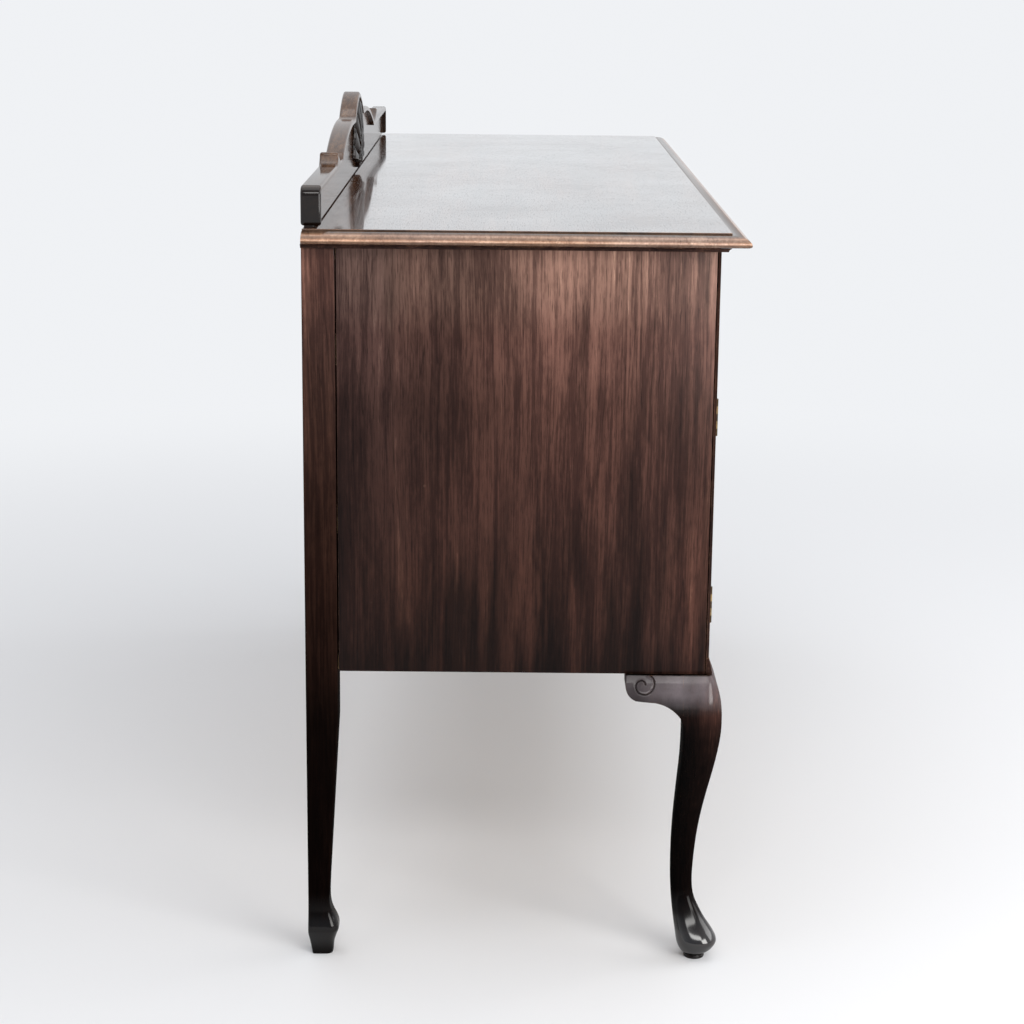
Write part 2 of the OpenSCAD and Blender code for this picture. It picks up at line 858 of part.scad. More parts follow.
// Half of the handle plate's outline, from the top centre round to the bottom centre
post_half = post_pitch / 2;
plate_end = post_half + plate_reach;
plate_neck = [post_half - 2, 11];
plate_middle = 13;
plate_notch = 3;
plate_bow = 3;
plate_half = concat(
  bow([0, plate_rise - plate_notch], [plate_middle, plate_rise], -plate_bow * 0.7, 4),
  bow([plate_middle, plate_rise], plate_neck, plate_bow, 5),
  bow(plate_neck, [plate_end - 2, plate_neck[1] + 1], -plate_bow, 5),
  bow([plate_end - 2, plate_neck[1] + 1], [plate_end, -plate_neck[1] + 2], plate_bow, 5),
  bow([plate_end, -plate_neck[1] + 2], [plate_neck[0], -plate_neck[1]], -plate_bow * 0.8, 5),
  bow([plate_neck[0], -plate_neck[1]], [plate_middle * 0.8, -plate_dip * 0.8], plate_bow * 0.8, 5),
  bow([plate_middle * 0.8, -plate_dip * 0.8], [0, -plate_dip], -plate_bow * 0.7, 4),
  [[0, -plate_dip]]
);

module plate_outline() {
  polygon(concat(plate_half, flip([for (i = [1 : len(plate_half) - 2]) plate_half[i]])));
}

bail_end = bail_radius * 0.8;
end_clearance = 0.08;
handle_eye = bail_radius + 2.4;
post_radius = 3.2;
flange_radius = 6;
flange_height = 2.5;
bolt_clearance = 0.1;
bolt_fit = 0.02;
nut_radius = 6;
nut_height = 3.5;
bolt_reach = front_thickness + nut_height + 2.5;

// Half section of a post: radius, distance in front of the drawer
eye_start = asin(post_radius / handle_eye);
flange_seat = plate_thickness + glue;
post_profile = concat(
  [[0, -bolt_reach], [bolt_radius, -bolt_reach], [bolt_radius, flange_seat], [flange_radius, flange_seat]],
  [[post_radius + 0.8, flange_seat + flange_height], [post_radius, flange_seat + flange_height]],
  arc([0, bail_standoff], handle_eye, handle_eye, eye_start - 90, 90, 12)
);

// Place the two posts of a handle
module at_posts() {
  for (side = [-1, 1]) translate([side * post_half, 0, 0]) children();
}

// Hole for a bolt, from in front of the plate through the wood
module bolt_hole() {
  reach = plate_thickness + past;
  translate([0, -reach, 0])
  rotate([-90, 0, 0]) cylinder(r = bolt_radius + bolt_clearance, h = front_thickness + reach + past);
}

// Nut on the back of the wood
module nut() {
  translate([0, front_thickness, 0])
  rotate([-90, 0, 0])
  difference() {
    cylinder(r = nut_radius, h = nut_height, $fn = 6);
    translate([0, 0, -past]) cylinder(r = bolt_radius + bolt_fit, h = nut_height + 2 * past);
  }
}

// Fixed half of a handle: plate, two posts with eyes, bolts and nuts
module handle_fixed() {
  color(brass_colour) {
    difference() {
      rotate([90, 0, 0]) linear_extrude(plate_thickness) plate_outline();
      at_posts() bolt_hole();
    }
    // Post, eye and bolt, turned in one piece and drilled across for the bail
    at_posts()
    difference() {
      rotate([90, 0, 0]) rotate_extrude() polygon(post_profile);
      translate([-handle_eye - past, -bail_standoff, 0])
      rotate([0, 90, 0]) cylinder(r = bail_end + end_clearance, h = 2 * (handle_eye + past));
    }
    at_posts() nut();
  }
}

bail_corner = 6;
bail_bend = 11;
bail_stub = handle_eye + 1.4;
bail_half = post_half + bail_stub + bail_corner;
collar_radius = bail_end + 0.4;
collar_width = 0.9;
// Each stretch of the rod is a little thicker than the one before and laps over it
rod_step = 0.05;
rod_lap = 0.3;
bend_rod = bail_end + rod_step;
leg_rod = bend_rod + rod_step;

// Quarter bend of round rod in the X-Z plane, from angle a over 90 degrees
module bend(radius, rod, a) {
  rotate([90, 0, 0]) rotate([0, 0, a]) rotate_extrude(angle = 90) translate([radius, 0]) circle(r = rod);
}

// Swinging half of a handle, its axis through the origin
module bail() {
  grip_half = bail_half - bail_bend + rod_lap;
  grip_radius = bail_radius * 1.25;
  color(brass_colour)
  union() {
    both_ends() {
      // Pivot through the eye, with a collar on its inner end
      translate([post_half - bail_stub - past, 0, 0])
      rotate([0, 90, 0]) {
        cylinder(r = bail_end, h = 2 * bail_stub + past + rod_lap);
        cylinder(r = collar_radius, h = collar_width);
      }
      translate([bail_half - bail_corner, 0, -bail_corner]) bend(bail_corner, bend_rod, 0);
      translate([bail_half, 0, -bail_drop + bail_bend - rod_lap])
      cylinder(r = leg_rod, h = bail_drop - bail_bend - bail_corner + 2 * rod_lap);
      translate([bail_half - bail_bend, 0, -bail_drop + bail_bend]) bend(bail_bend, bend_rod, 270);
    }
    // Grip, swelling towards its middle
    translate([0, 0, -bail_drop])
    rotate([0, 90, 0])
    rotate_extrude()
    polygon(concat(
      [[0, -grip_half]],
      [for (t = [-1 : 0.125 : 1]) [leg_rod + (grip_radius - leg_rod) * (1 - t * t), t * grip_half]],
      [[0, grip_half]]
    ));
  }
}

// Drawers

// The values of a drawer: middle in X, bottom of its opening, width and height of its
// opening, and the places of its handles
left_drawer = [-end_bay_centre, waist_top, end_bay, top_drawer_height, [0]];
right_drawer = [end_bay_centre, waist_top, end_bay, top_drawer_height, [0]];
middle_drawer = [0, waist_top, centre_bay, top_drawer_height, [-handle_spread, handle_spread]];
upper_drawer = [0, centre_rail_top, centre_bay, lower_height, [-handle_spread, handle_spread]];
lower_drawer = [0, opening_bottom, centre_bay, lower_height, [-handle_spread, handle_spread]];

// Height of the handles: above the middle, so that the bail hangs about the middle
handle_lift = 6;
function handle_z(d) = d[1] + d[3] / 2 + handle_lift;

module at_handles(d) {
  for (x = d[4]) translate([d[0] + x, face_y, handle_z(d)]) children();
}

bead_depth = 8;

module drawer_front(d) {
  half = d[2] / 2 - front_gap;
  low = d[1] + front_gap;
  high = d[1] + d[3] - front_gap;
  inset = bead_width + glue;
  color(mahogany)
  difference() {
    union() {
      front_slab([d[0] - half + inset, d[0] + half - inset], [0, front_thickness],
        [low + inset, high - inset]);
      front_slab([d[0] - half, d[0] + half], [bead_depth + glue, front_thickness], [low, high]);
    }
    at_handles(d) at_posts() bolt_hole();
  }
  // Cock bead planted round the front
  color(dark_mahogany)
  difference() {
    front_slab([d[0] - half, d[0] + half], [-bead_projection, bead_depth], [low, high]);
    front_slab([d[0] - half + bead_width, d[0] + half - bead_width],
      [-bead_projection - past, bead_depth + past], [low + bead_width, high - bead_width]);
  }
}

drawer_back_gap = 22;
box_top_gap = 5;
bottom_rise = 6;
back_drop = 4;

module drawer_box(d) {
  half = d[2] / 2 - front_gap;
  low = d[1] + drawer_lift;
  high = d[1] + d[3] - box_top_gap;
  back = case_depth - rail_front - drawer_back_gap;
  floor_top = low + bottom_rise + drawer_bottom;
  between = [d[0] - half + side_thickness + glue, d[0] + half - side_thickness - glue];
  color(oak) {
    for (side = [-1, 1])
      front_slab([d[0] + side * half, d[0] + side * (half - side_thickness)],
        [front_thickness, back], [low, high]);
    front_slab(between, [back - side_thickness, back], [floor_top + glue, high - back_drop]);
  }
  color(plywood)
  front_slab(between, [front_thickness, back], [low + bottom_rise, floor_top]);
}

module drawer_plates(d) {
  at_handles(d) handle_fixed();
}

module drawer_bail(d, i) {
  translate([d[0] + d[4][i], face_y - bail_standoff, handle_z(d)]) bail();
}

module left_drawer_front() { drawer_front(left_drawer); }
module left_drawer_box() { drawer_box(left_drawer); }
module left_drawer_plates() { drawer_plates(left_drawer); }
module left_drawer_bail() { drawer_bail(left_drawer, 0); }
module middle_drawer_front() { drawer_front(middle_drawer); }
module middle_drawer_box() { drawer_box(middle_drawer); }
module middle_drawer_plates() { drawer_plates(middle_drawer); }
module middle_drawer_bail_left() { drawer_bail(middle_drawer, 0); }
module middle_drawer_bail_right() { drawer_bail(middle_drawer, 1); }
module right_drawer_front() { drawer_front(right_drawer); }
module right_drawer_box() { drawer_box(right_drawer); }
module right_drawer_plates() { drawer_plates(right_drawer); }
module right_drawer_bail() { drawer_bail(right_drawer, 0); }
module upper_drawer_front() { drawer_front(upper_drawer); }
module upper_drawer_box() { drawer_box(upper_drawer); }
module upper_drawer_plates() { drawer_plates(upper_drawer); }
module upper_drawer_bail_left() { drawer_bail(upper_drawer, 0); }
module upper_drawer_bail_right() { drawer_bail(upper_drawer, 1); }
module lower_drawer_front() { drawer_front(lower_drawer); }
module lower_drawer_box() { drawer_box(lower_drawer); }
module lower_drawer_plates() { drawer_plates(lower_drawer); }
module lower_drawer_bail_left() { drawer_bail(lower_drawer, 0); }
module lower_drawer_bail_right() { drawer_bail(lower_drawer, 1); }

// Doors

panel_lap = 8;
frame_lip = 11;
moulding_width = 12;
moulding_height = 7;
door_inner = bay_outer + front_gap;
door_outer = stile_inner - front_gap;
door_low = opening_bottom + front_gap;
door_high = waist_bottom - front_gap;
pull_x = door_inner + frame_width / 2;
pull_rise = 20;
pull_z = (door_low + door_high) / 2 + pull_rise;
pull_radius = 15;
drop_flange = 5.5;
drop_eye = 4.2;
eye_thickness = 2.4;
ring_radius = 5;
ring_rod = 1.2;
ring_clearance = 0.4;
pear_radius = 7.5;
pear_neck = 2.2;

// Door of the left cupboard, closed
field_x = [-door_outer + frame_width, -door_inner - frame_width];
field_z = [door_low + frame_width, door_high - frame_width];

// Rebate behind the frame that holds the panel
module panel_rebate() {
  front_slab([field_x[0] - panel_lap, field_x[1] + panel_lap], [frame_lip, front_thickness + past],
    [field_z[0] - panel_lap, field_z[1] + panel_lap]);
}

module door() {
  color(dark_mahogany)
  difference() {
    union() {
      front_slab([-door_outer, field_x[0]], [0, front_thickness], [door_low, door_high]);
      front_slab([field_x[1], -door_inner], [0, front_thickness], [door_low, door_high]);
      for (z = [[door_low, field_z[0]], [field_z[1], door_high]])
        front_slab([field_x[0] + glue, field_x[1] - glue], [0, front_thickness], z);
    }
    panel_rebate();
    hinge_cuts(-1);
    translate([-pull_x, face_y, pull_z]) bolt_hole();
  }
  color(mahogany)
  front_slab([field_x[0] - panel_lap + glue, field_x[1] + panel_lap - glue],
    [frame_lip + glue, front_thickness], [field_z[0] - panel_lap + glue, field_z[1] + panel_lap - glue]);
  // Moulding planted round the panel
  color(dark_mahogany)
  difference() {
    front_slab([field_x[0] + glue, field_x[1] - glue], [frame_lip - moulding_height, frame_lip],
      [field_z[0] + glue, field_z[1] - glue]);
    front_slab([field_x[0] + moulding_width, field_x[1] - moulding_width], [0, frame_lip + past],
      [field_z[0] + moulding_width, field_z[1] - moulding_width]);
  }
}

// Turned eye bolt that carries the drop, its seat on the plate
module eye_bolt() {
  difference() {
    union() {
      translate([0, bolt_reach, 0])
      rotate([90, 0, 0]) cylinder(r = bolt_radius, h = bolt_reach + drop_standoff - drop_eye + past);
      translate([0, -flange_seat, 0])
      rotate([90, 0, 0]) cylinder(r1 = drop_flange, r2 = post_radius, h = flange_height);
      translate([-eye_thickness / 2, -drop_standoff, 0])
      rotate([0, 90, 0]) cylinder(r = drop_eye, h = eye_thickness);
    }
    translate([-drop_eye, -drop_standoff, 0])
    rotate([0, 90, 0]) cylinder(r = ring_rod + ring_clearance, h = 2 * drop_eye);
  }
}

// Hinge leaves, pull plate, eye bolt and nut of the left door
module door_fittings() {
  color(brass_colour) {
    at_hinges() hinge_leaf(-1, 1);
    translate([-pull_x, face_y, pull_z]) {
      difference() {
        rotate([90, 0, 0]) cylinder(r = pull_radius, h = plate_thickness);
        bolt_hole();
      }
      eye_bolt();
      nut();
    }
  }
}

module left_door() { door(); }
module left_door_fittings() { door_fittings(); }
module right_door() { mirror([1, 0, 0]) door(); }
module right_door_fittings() { mirror([1, 0, 0]) door_fittings(); }

// Pear-shaped drop with its ring, its axis through the origin
module drop() {
  pear_top = 2 * ring_radius - ring_rod / 2;
  pear_centre = -drop_length + pear_radius;
  color(brass_colour)
  union() {
    translate([0, 0, -ring_radius])
    rotate([90, 0, 0]) rotate_extrude() translate([ring_radius, 0]) circle(r = ring_rod);
    rotate_extrude()
    polygon(concat(
      [[0, -pear_top], [pear_neck * 0.8, -pear_top]],
      bow([pear_neck, -pear_top - pear_neck], [pear_radius, pear_centre + 1], -1.2, 6),
      arc([0, pear_centre], pear_radius, pear_radius, 0, -90, 6)
    ));
  }
}

module left_drop() { translate([-pull_x, face_y - drop_standoff, pull_z]) drop(); }
module right_drop() { translate([pull_x, face_y - drop_standoff, pull_z]) drop(); }

top_board();
bed_moulding();
gallery_board();
gallery_carving();
gallery_straps();
left_end_panel();
right_end_panel();
rear_left_leg();
rear_right_leg();
front_left_leg();
front_right_leg();
knee_blocks();
corner_stiles();
division_stiles();
partitions();
top_rail();
drawer_rails();
bottom_rail();
base_moulding();
bottom_board();
dust_boards();
drawer_runners();
kickers();
shelves();
shelf_bearers();
door_stops();
back_panel();
back_rails();
back_screws();
fixed_hinge_leaves();
hinge_pins();
left_drawer_front();
left_drawer_box();
left_drawer_plates();
left_drawer_bail();
middle_drawer_front();
middle_drawer_box();
middle_drawer_plates();
middle_drawer_bail_left();
middle_drawer_bail_right();
right_drawer_front();
right_drawer_box();
right_drawer_plates();
right_drawer_bail();
upper_drawer_front();
upper_drawer_box();
upper_drawer_plates();
upper_drawer_bail_left();
upper_drawer_bail_right();
lower_drawer_front();
lower_drawer_box();
lower_drawer_plates();
lower_drawer_bail_left();
lower_drawer_bail_right();
left_door();
left_door_fittings();
left_drop();
right_door();
right_door_fittings();
right_drop();
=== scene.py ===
import math

import bmesh
import bpy
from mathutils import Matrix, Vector


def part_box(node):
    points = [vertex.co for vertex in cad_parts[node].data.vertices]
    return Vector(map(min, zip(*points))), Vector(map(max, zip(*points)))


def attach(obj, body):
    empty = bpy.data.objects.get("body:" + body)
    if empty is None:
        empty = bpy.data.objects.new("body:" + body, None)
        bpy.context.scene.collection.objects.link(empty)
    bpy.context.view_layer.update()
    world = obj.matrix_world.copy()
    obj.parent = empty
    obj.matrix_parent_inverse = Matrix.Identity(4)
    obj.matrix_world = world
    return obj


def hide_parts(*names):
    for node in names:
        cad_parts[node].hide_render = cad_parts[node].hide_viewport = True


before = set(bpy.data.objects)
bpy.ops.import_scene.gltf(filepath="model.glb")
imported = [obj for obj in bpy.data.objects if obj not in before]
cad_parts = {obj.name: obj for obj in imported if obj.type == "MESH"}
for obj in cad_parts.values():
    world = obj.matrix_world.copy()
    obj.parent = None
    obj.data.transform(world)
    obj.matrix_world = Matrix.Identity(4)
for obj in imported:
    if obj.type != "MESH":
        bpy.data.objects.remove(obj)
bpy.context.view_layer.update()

# Mahogany sideboard: the finish of every piece, and finer shapes for the carved and moulded ones
mm = 0.001

topLow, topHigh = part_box("top_board")
boardLow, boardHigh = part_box("gallery_board")
halfLength = -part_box("left_end_panel")[0].x    # outer face of the end panels
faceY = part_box("corner_stiles")[0].y           # front face of the carcase
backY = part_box("rear_left_leg")[1].y           # back of the rear posts
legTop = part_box("front_left_leg")[1].z         # underside of the carcase
topSurface = topHigh.z
print("frame loaded,", len(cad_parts), "nodes")


# Everyday helpers

def newObject(name, data):
    thing = bpy.data.objects.new(name, data)
    bpy.context.scene.collection.objects.link(thing)
    return thing


def pick(*things):
    if bpy.context.object and bpy.context.object.mode != "OBJECT":
        bpy.ops.object.mode_set(mode="OBJECT")
    bpy.ops.object.select_all(action="DESELECT")
    for thing in things:
        thing.select_set(True)
    bpy.context.view_layer.objects.active = things[0]


def selectAll():
    bpy.ops.mesh.select_all(action="SELECT")


def editing(thing):
    # edit mode by vertices, with everything selected
    pick(thing)
    bpy.ops.object.mode_set(mode="EDIT")
    bpy.ops.mesh.select_mode(type="VERT")
    selectAll()


def closeUp(merge=None):
    # ends an edit: points nearer than merge become one, and every face looks outwards
    selectAll()
    if merge:
        bpy.ops.mesh.remove_doubles(threshold=merge)
    bpy.ops.mesh.normals_make_consistent(inside=False)
    bpy.ops.object.mode_set(mode="OBJECT")


def extrude(move):
    bpy.ops.mesh.extrude_region_move(TRANSFORM_OT_translate={"value": move})


def choose(thing, kind, test):
    # in edit mode, selects the verts, edges or faces that pass the test
    bpy.ops.mesh.select_mode(type={"verts": "VERT", "edges": "EDGE", "faces": "FACE"}[kind])
    bpy.ops.mesh.select_all(action="DESELECT")
    mesh = bmesh.from_edit_mesh(thing.data)
    for part in getattr(mesh, kind):
        if test(part):
            part.select_set(True)
    bmesh.update_edit_mesh(thing.data)


def cutAway(thing, test):
    # deletes the vertices that pass the test
    editing(thing)
    choose(thing, "verts", test)
    bpy.ops.mesh.delete(type="VERT")
    bpy.ops.object.mode_set(mode="OBJECT")


def middleOf(part):
    return sum((v.co for v in part.verts), Vector()) / len(part.verts)


def settle(thing, turn=None):
    # puts the object's place into its mesh
    if turn:
        thing.rotation_euler = [math.radians(a) for a in turn]
    pick(thing)
    bpy.ops.object.transform_apply(location=True, rotation=True, scale=True)


def useModifier(thing, kind, **values):
    change = thing.modifiers.new(kind.lower(), kind)
    for name, value in values.items():
        setattr(change, name, value)
    pick(thing)
    bpy.ops.object.modifier_apply(modifier=change.name)


def smooth(thing, angle=32):
    pick(thing)
    bpy.ops.object.shade_smooth_by_angle(angle=math.radians(angle))


def joined(name, things):
    pick(*things)
    if len(things) > 1:
        bpy.ops.object.join()
    things[0].name = name
    return things[0]


def copyOf(thing, name, move=(0, 0, 0), flipX=False):
    # a copy with its own mesh, moved or mirrored to the other end
    new = newObject(name, thing.data.copy())
    for v in new.data.vertices:
        v.co += Vector(move)
        if flipX:
            v.co.x = -v.co.x
    if flipX:
        new.data.flip_normals()
    return new


def curveMesh(name, curve, points, radii=None):
    # mesh of a curve drawn through the points: open with radii, closed without
    line = curve.splines.new("POLY")
    line.points.add(len(points) - 1)
    for number, place in enumerate(points):
        line.points[number].co = (*place, 1)
        line.points[number].radius = radii[number] if radii else 1
    line.use_cyclic_u = not radii
    pick(newObject(name, curve))
    bpy.ops.object.convert(target="MESH")
    thing = bpy.context.object
    editing(thing)
    closeUp(0.005 * mm)
    return thing


def finishes(thing, *materials):
    thing.data.materials.clear()
    for material in materials:
        thing.data.materials.append(material)


def fitted(thing, body, slotName, material, *nodes):
    # last touches: finish, the body it rides on and the nodes it stands for
    if material:
        finishes(thing, material)
    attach(thing, body)
    if nodes:
        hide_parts(*nodes)


def bow(p, q, rise, steps):
    # points from p towards q on a curve that bows out on its left
    along = (q[0] - p[0], q[1] - p[1])
    size = math.hypot(*along)
    side = (-along[1] / size, along[0] / size)
    points = []
    for i in range(steps):
        t = i / steps
        out = rise * 4 * t * (1 - t)
        points.append((p[0] + along[0] * t + side[0] * out, p[1] + along[1] * t + side[1] * out))
    return points


def arc(centre, rx, ry, start, end, steps):
    turns = [math.radians(start + (end - start) * i / steps) for i in range(steps + 1)]
    return [(centre[0] + rx * math.cos(a), centre[1] + ry * math.sin(a)) for a in turns]


def flipped(points):
    return [(-x, y) for x, y in reversed(points)]


def blendOf(stations, at):
    # value of a smooth row of (place, value, ...) stations at one place
    if at <= stations[0][0]:
        return stations[0][1:]
    for low, high in zip(stations, stations[1:]):
        if at <= high[0]:
            t = (at - low[0]) / (high[0] - low[0])
            return tuple(a + (b - a) * t for a, b in zip(low[1:], high[1:]))
    return stations[-1][1:]


def easedCopy(node, name, width, weigh=None, segments=2, least=2.5 * mm):
    # copy of a CAD node with its long edges rounded; weigh gives each edge its share of the width
    piece = newObject(name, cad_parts[node].data.copy())
    editing(piece)
    bpy.ops.mesh.remove_doubles(threshold=0.002 * mm)
    bpy.ops.mesh.dissolve_limited(angle_limit=math.radians(0.4))
    bpy.ops.mesh.customdata_custom_splitnormals_clear()
    bpy.ops.object.mode_set(mode="OBJECT")
    mesh = bmesh.new()
    mesh.from_mesh(piece.data)
    weights = mesh.edges.layers.float.new("bevel_weight_edge")
    for edge in mesh.edges:
        if len(edge.link_faces) == 2 and edge.calc_length() > least:
            if edge.calc_face_angle(0) > math.radians(40):
                edge[weights] = weigh(middleOf(edge)) if weigh else 1
    mesh.to_mesh(piece.data)
    mesh.free()
    useModifier(piece, "BEVEL", width=width, segments=segments, limit_method="WEIGHT", use_clamp_overlap=True)
    smooth(piece)
    return piece


def camel(node):
    first, *rest = node.split("_")
    return first + "".join(word.title() for word in rest)


def eased(node, width, material, slotName, weigh=None, segments=2):
    # node of the carcase that keeps its shape, with rounded edges
    fitted(easedCopy(node, camel(node), width, weigh, segments), "carcase", slotName, material, node)


# Node helpers

def wire(tree, node, inputs):
    # a socket is linked, anything else becomes a constant
    for name, value in inputs.items():
        if isinstance(value, bpy.types.NodeSocket):
            tree.links.new(value, node.inputs[name])
        else:
            node.inputs[name].default_value = value


def put(tree, kind, inputs=None, **settings):
    node = tree.nodes.new(kind)
    for name, value in settings.items():
        setattr(node, name, value)
    wire(tree, node, inputs or {})
    return node


def sums(tree, operation, a, b=0.5):
    return put(tree, "ShaderNodeMath", {0: a, 1: b}, operation=operation).outputs[0]


def times(tree, first, *others):
    for other in others:
        first = sums(tree, "MULTIPLY", first, other)
    return first


def vectors(tree, operation, inputs, output="Vector"):
    return put(tree, "ShaderNodeVectorMath", inputs, operation=operation).outputs[output]


def axesOf(tree, vector):
    return put(tree, "ShaderNodeSeparateXYZ", {0: vector}).outputs


def spread(tree, value, low, high, toLow=0.0, toHigh=1.0):
    inputs = {"Value": value, "From Min": low, "From Max": high, "To Min": toLow, "To Max": toHigh}
    return put(tree, "ShaderNodeMapRange", inputs).outputs[0]


def mixed(tree, share, a, b, blend="MIX"):
    node = put(tree, "ShaderNodeMix", {0: share, 6: a, 7: b}, data_type="RGBA", blend_type=blend)
    return node.outputs[2]


def noiseOf(tree, vector, scale, detail=2.0, roughness=0.5, output="Fac"):
    inputs = {"Vector": vector, "Scale": scale, "Detail": detail, "Roughness": roughness}
    return put(tree, "ShaderNodeTexNoise", inputs).outputs[output]


def stretched(tree, vector, scale, place=(0, 0, 0)):
    inputs = {"Vector": vector, "Location": place, "Scale": scale}
    return put(tree, "ShaderNodeMapping", inputs).outputs[0]


def rampOf(tree, value, stops):
    # colours along a value, from (place, colour) pairs
    ramp = put(tree, "ShaderNodeValToRGB", {0: value})
    ramp.color_ramp.interpolation = "EASE"
    for number, (at, colour) in enumerate(stops):
        stop = ramp.color_ramp.elements[number] if number < 2 else ramp.color_ramp.elements.new(at)
        stop.position, stop.color = at, (*colour, 1)
    return ramp.outputs[0]


def byHeight(tree, height, rows, most=1.0):
    # colours by height, from (height, colour) rows; most is the value that counts as one
    low, high = rows[0][0], rows[-1][0]
    stops = [((at - low) / (high - low), [part / most for part in colour]) for at, colour in rows]
    return rampOf(tree, spread(tree, height, low, high), stops)


def newMaterial(name):
    material = bpy.data.materials.new(name)
    material.use_nodes = True
    tree = material.node_tree
    return material, tree, tree.nodes["Principled BSDF"], put(tree, "ShaderNodeTexCoord").outputs["Object"]


def newGroup(name, takes, gives):
    tree = bpy.data.node_groups.new(name, "ShaderNodeTree")
    for direction, sockets in (("INPUT", takes), ("OUTPUT", gives)):
        for label, kind, *value in sockets:
            socket = tree.interface.new_socket(name=label, in_out=direction, socket_type="NodeSocket" + kind)
            if value:
                socket.default_value = value[0]
    return tree, put(tree, "NodeGroupInput").outputs, put(tree, "NodeGroupOutput")


def useGroup(tree, group, inputs):
    return put(tree, "ShaderNodeGroup", inputs, node_tree=group).outputs


# Shared effects

def grainGroup():
    # wood grain that runs along Z: broad ribbons, streaks, fine lines and open pores
    tree, given, out = newGroup(
        "woodGrain",
        [("Vector", "Vector"), ("Ribbon", "Float", 14.0), ("Streak", "Float", 70.0),
         ("Wander", "Float", 0.012)],
        [("Tone", "Float"), ("Veins", "Float"), ("Pores", "Float"), ("Height", "Float")])
    drift = noiseOf(tree, stretched(tree, given["Vector"], (2.2, 2.2, 1.1)), 1.0, 2.0, output="Color")
    centred = vectors(tree, "SUBTRACT", {0: drift, 1: (0.5, 0.5, 0.5)})
    moved = vectors(tree, "SCALE", {0: centred, "Scale": given["Wander"]})
    bent = vectors(tree, "ADD", {0: given["Vector"], 1: moved})

    def along(length, scale, detail, roughness):
        # noise drawn out along the grain
        return noiseOf(tree, stretched(tree, bent, (1, 1, length)), scale, detail, roughness)

    ribbon = along(0.11, given["Ribbon"], 3.0, 0.55)
    streak = along(0.045, given["Streak"], 4.0, 0.68)
    fine = along(0.022, 380.0, 3.0, 0.65)
    fleck = along(0.3, 160.0, 4.0, 0.7)
    pores = spread(tree, along(0.05, 900.0, 1.0, 0.5), 0.58, 0.68)
    tone = times(tree, ribbon, 0.32)    # the four shares add up to one
    for part, share in ((streak, 0.30), (fine, 0.24), (fleck, 0.14)):
        tone = sums(tree, "ADD", tone, times(tree, part, share))
    lines = sums(tree, "SUBTRACT", along(0.035, 58.0, 2.0, 0.5), 0.5)
    where = noiseOf(tree, stretched(tree, bent, (1, 1, 0.3), (3, 0, 5)), 9.0, 2.0)
    veins = times(tree, spread(tree, sums(tree, "ABSOLUTE", lines), 0.0, 0.014, 1.0, 0.0),
                  spread(tree, where, 0.44, 0.58))
    height = sums(tree, "SUBTRACT", times(tree, fine, 0.5), times(tree, pores, 0.8))
    wire(tree, out, {"Tone": tone, "Veins": veins, "Pores": pores, "Height": height})
    return tree


def wearGroup():
    # polish rubbed through on sharp edges, in uneven patches
    tree, given, out = newGroup(
        "edgeWear",
        [("Vector", "Vector"), ("Width", "Float", 0.002), ("Patches", "Float", 45.0), ("Cover", "Float", 0.0),
         ("Amount", "Float", 1.0)],
        [("Worn", "Float")])
    rounded = put(tree, "ShaderNodeBevel", {"Radius": given["Width"]}, samples=4).outputs[0]
    facing = put(tree, "ShaderNodeNewGeometry").outputs["Normal"]
    edge = spread(tree, vectors(tree, "DOT_PRODUCT", {0: rounded, 1: facing}, "Value"), 0.985, 0.86)
    cover = sums(tree, "ADD", noiseOf(tree, given["Vector"], given["Patches"], 4.0, 0.65), given["Cover"])
    wire(tree, out, {"Worn": times(tree, edge, spread(tree, cover, 0.44, 0.62), given["Amount"])})
    return tree


def marksGroup():
    # small scuffs, smears and dents in an old polish
    tree, given, out = newGroup("polishMarks", [("Vector", "Vector"), ("Amount", "Float", 1.0)],
                                [("Smears", "Float"), ("Nicks", "Float")])
    amount = given["Amount"]
    smears = noiseOf(tree, stretched(tree, given["Vector"], (7, 7, 3.5)), 1.0, 5.0, 0.62)
    cells = put(tree, "ShaderNodeTexVoronoi", {"Vector": given["Vector"], "Scale": 34.0}).outputs["Distance"]
    chance = noiseOf(tree, given["Vector"], 22.0, 2.0)
    nicks = times(tree, spread(tree, cells, 0.1, 0.05), spread(tree, chance, 0.6, 0.66))
    wire(tree, out, {"Smears": times(tree, smears, amount), "Nicks": times(tree, nicks, amount)})
    return tree


grain, wear, marks = grainGroup(), wearGroup(), marksGroup()

# A finish's turn takes its coordinates so that the grain runs along the piece
alongX, alongY, alongZ = (0, -90, 0), (90, 0, 0), (0, 0, 0)
# painted shade in the recesses: how far the occlusion looks, where the darkening starts and where it is full,
# and its near-black colour
grime = {"reach": 0.004, "open": 0.92, "deep": 0.5, "colour": (0.004, 0.0025, 0.002, 1)}


def paintedLight(tree, axis, fade, colour, shade):
    # painted light: lighter or darker by how light falls, as a colour by height, and a share by depth and,
    # where given, near the ends
    most = max(max(row[1]) for row in fade["rows"])
    shade = times(tree, shade, times(tree, spread(tree, axis["Y"], *fade["depth"]), most))
    if fade.get("ends"):
        shade = times(tree, shade, spread(tree, sums(tree, "ABSOLUTE", axis["X"]), *fade["ends"]))
    return mixed(tree, 1.0, colour, byHeight(tree, axis["Z"], fade["rows"], most), "MULTIPLY"), shade


def darkRunsLow(tree, axis, laid, smears, shade):
    # darker towards the lower edge, in uneven runs that rise from it
    runs = noiseOf(tree, stretched(tree, laid, (1, 1, 0.11)), smears["scale"], 4.0, 0.6)
    sunk = sums(tree, "ADD", runs, spread(tree, axis["Z"], *smears["height"], 0.13, -0.16))
    return times(tree, shade, spread(tree, sunk, 0.44, 0.66, 1.0, smears["least"]))


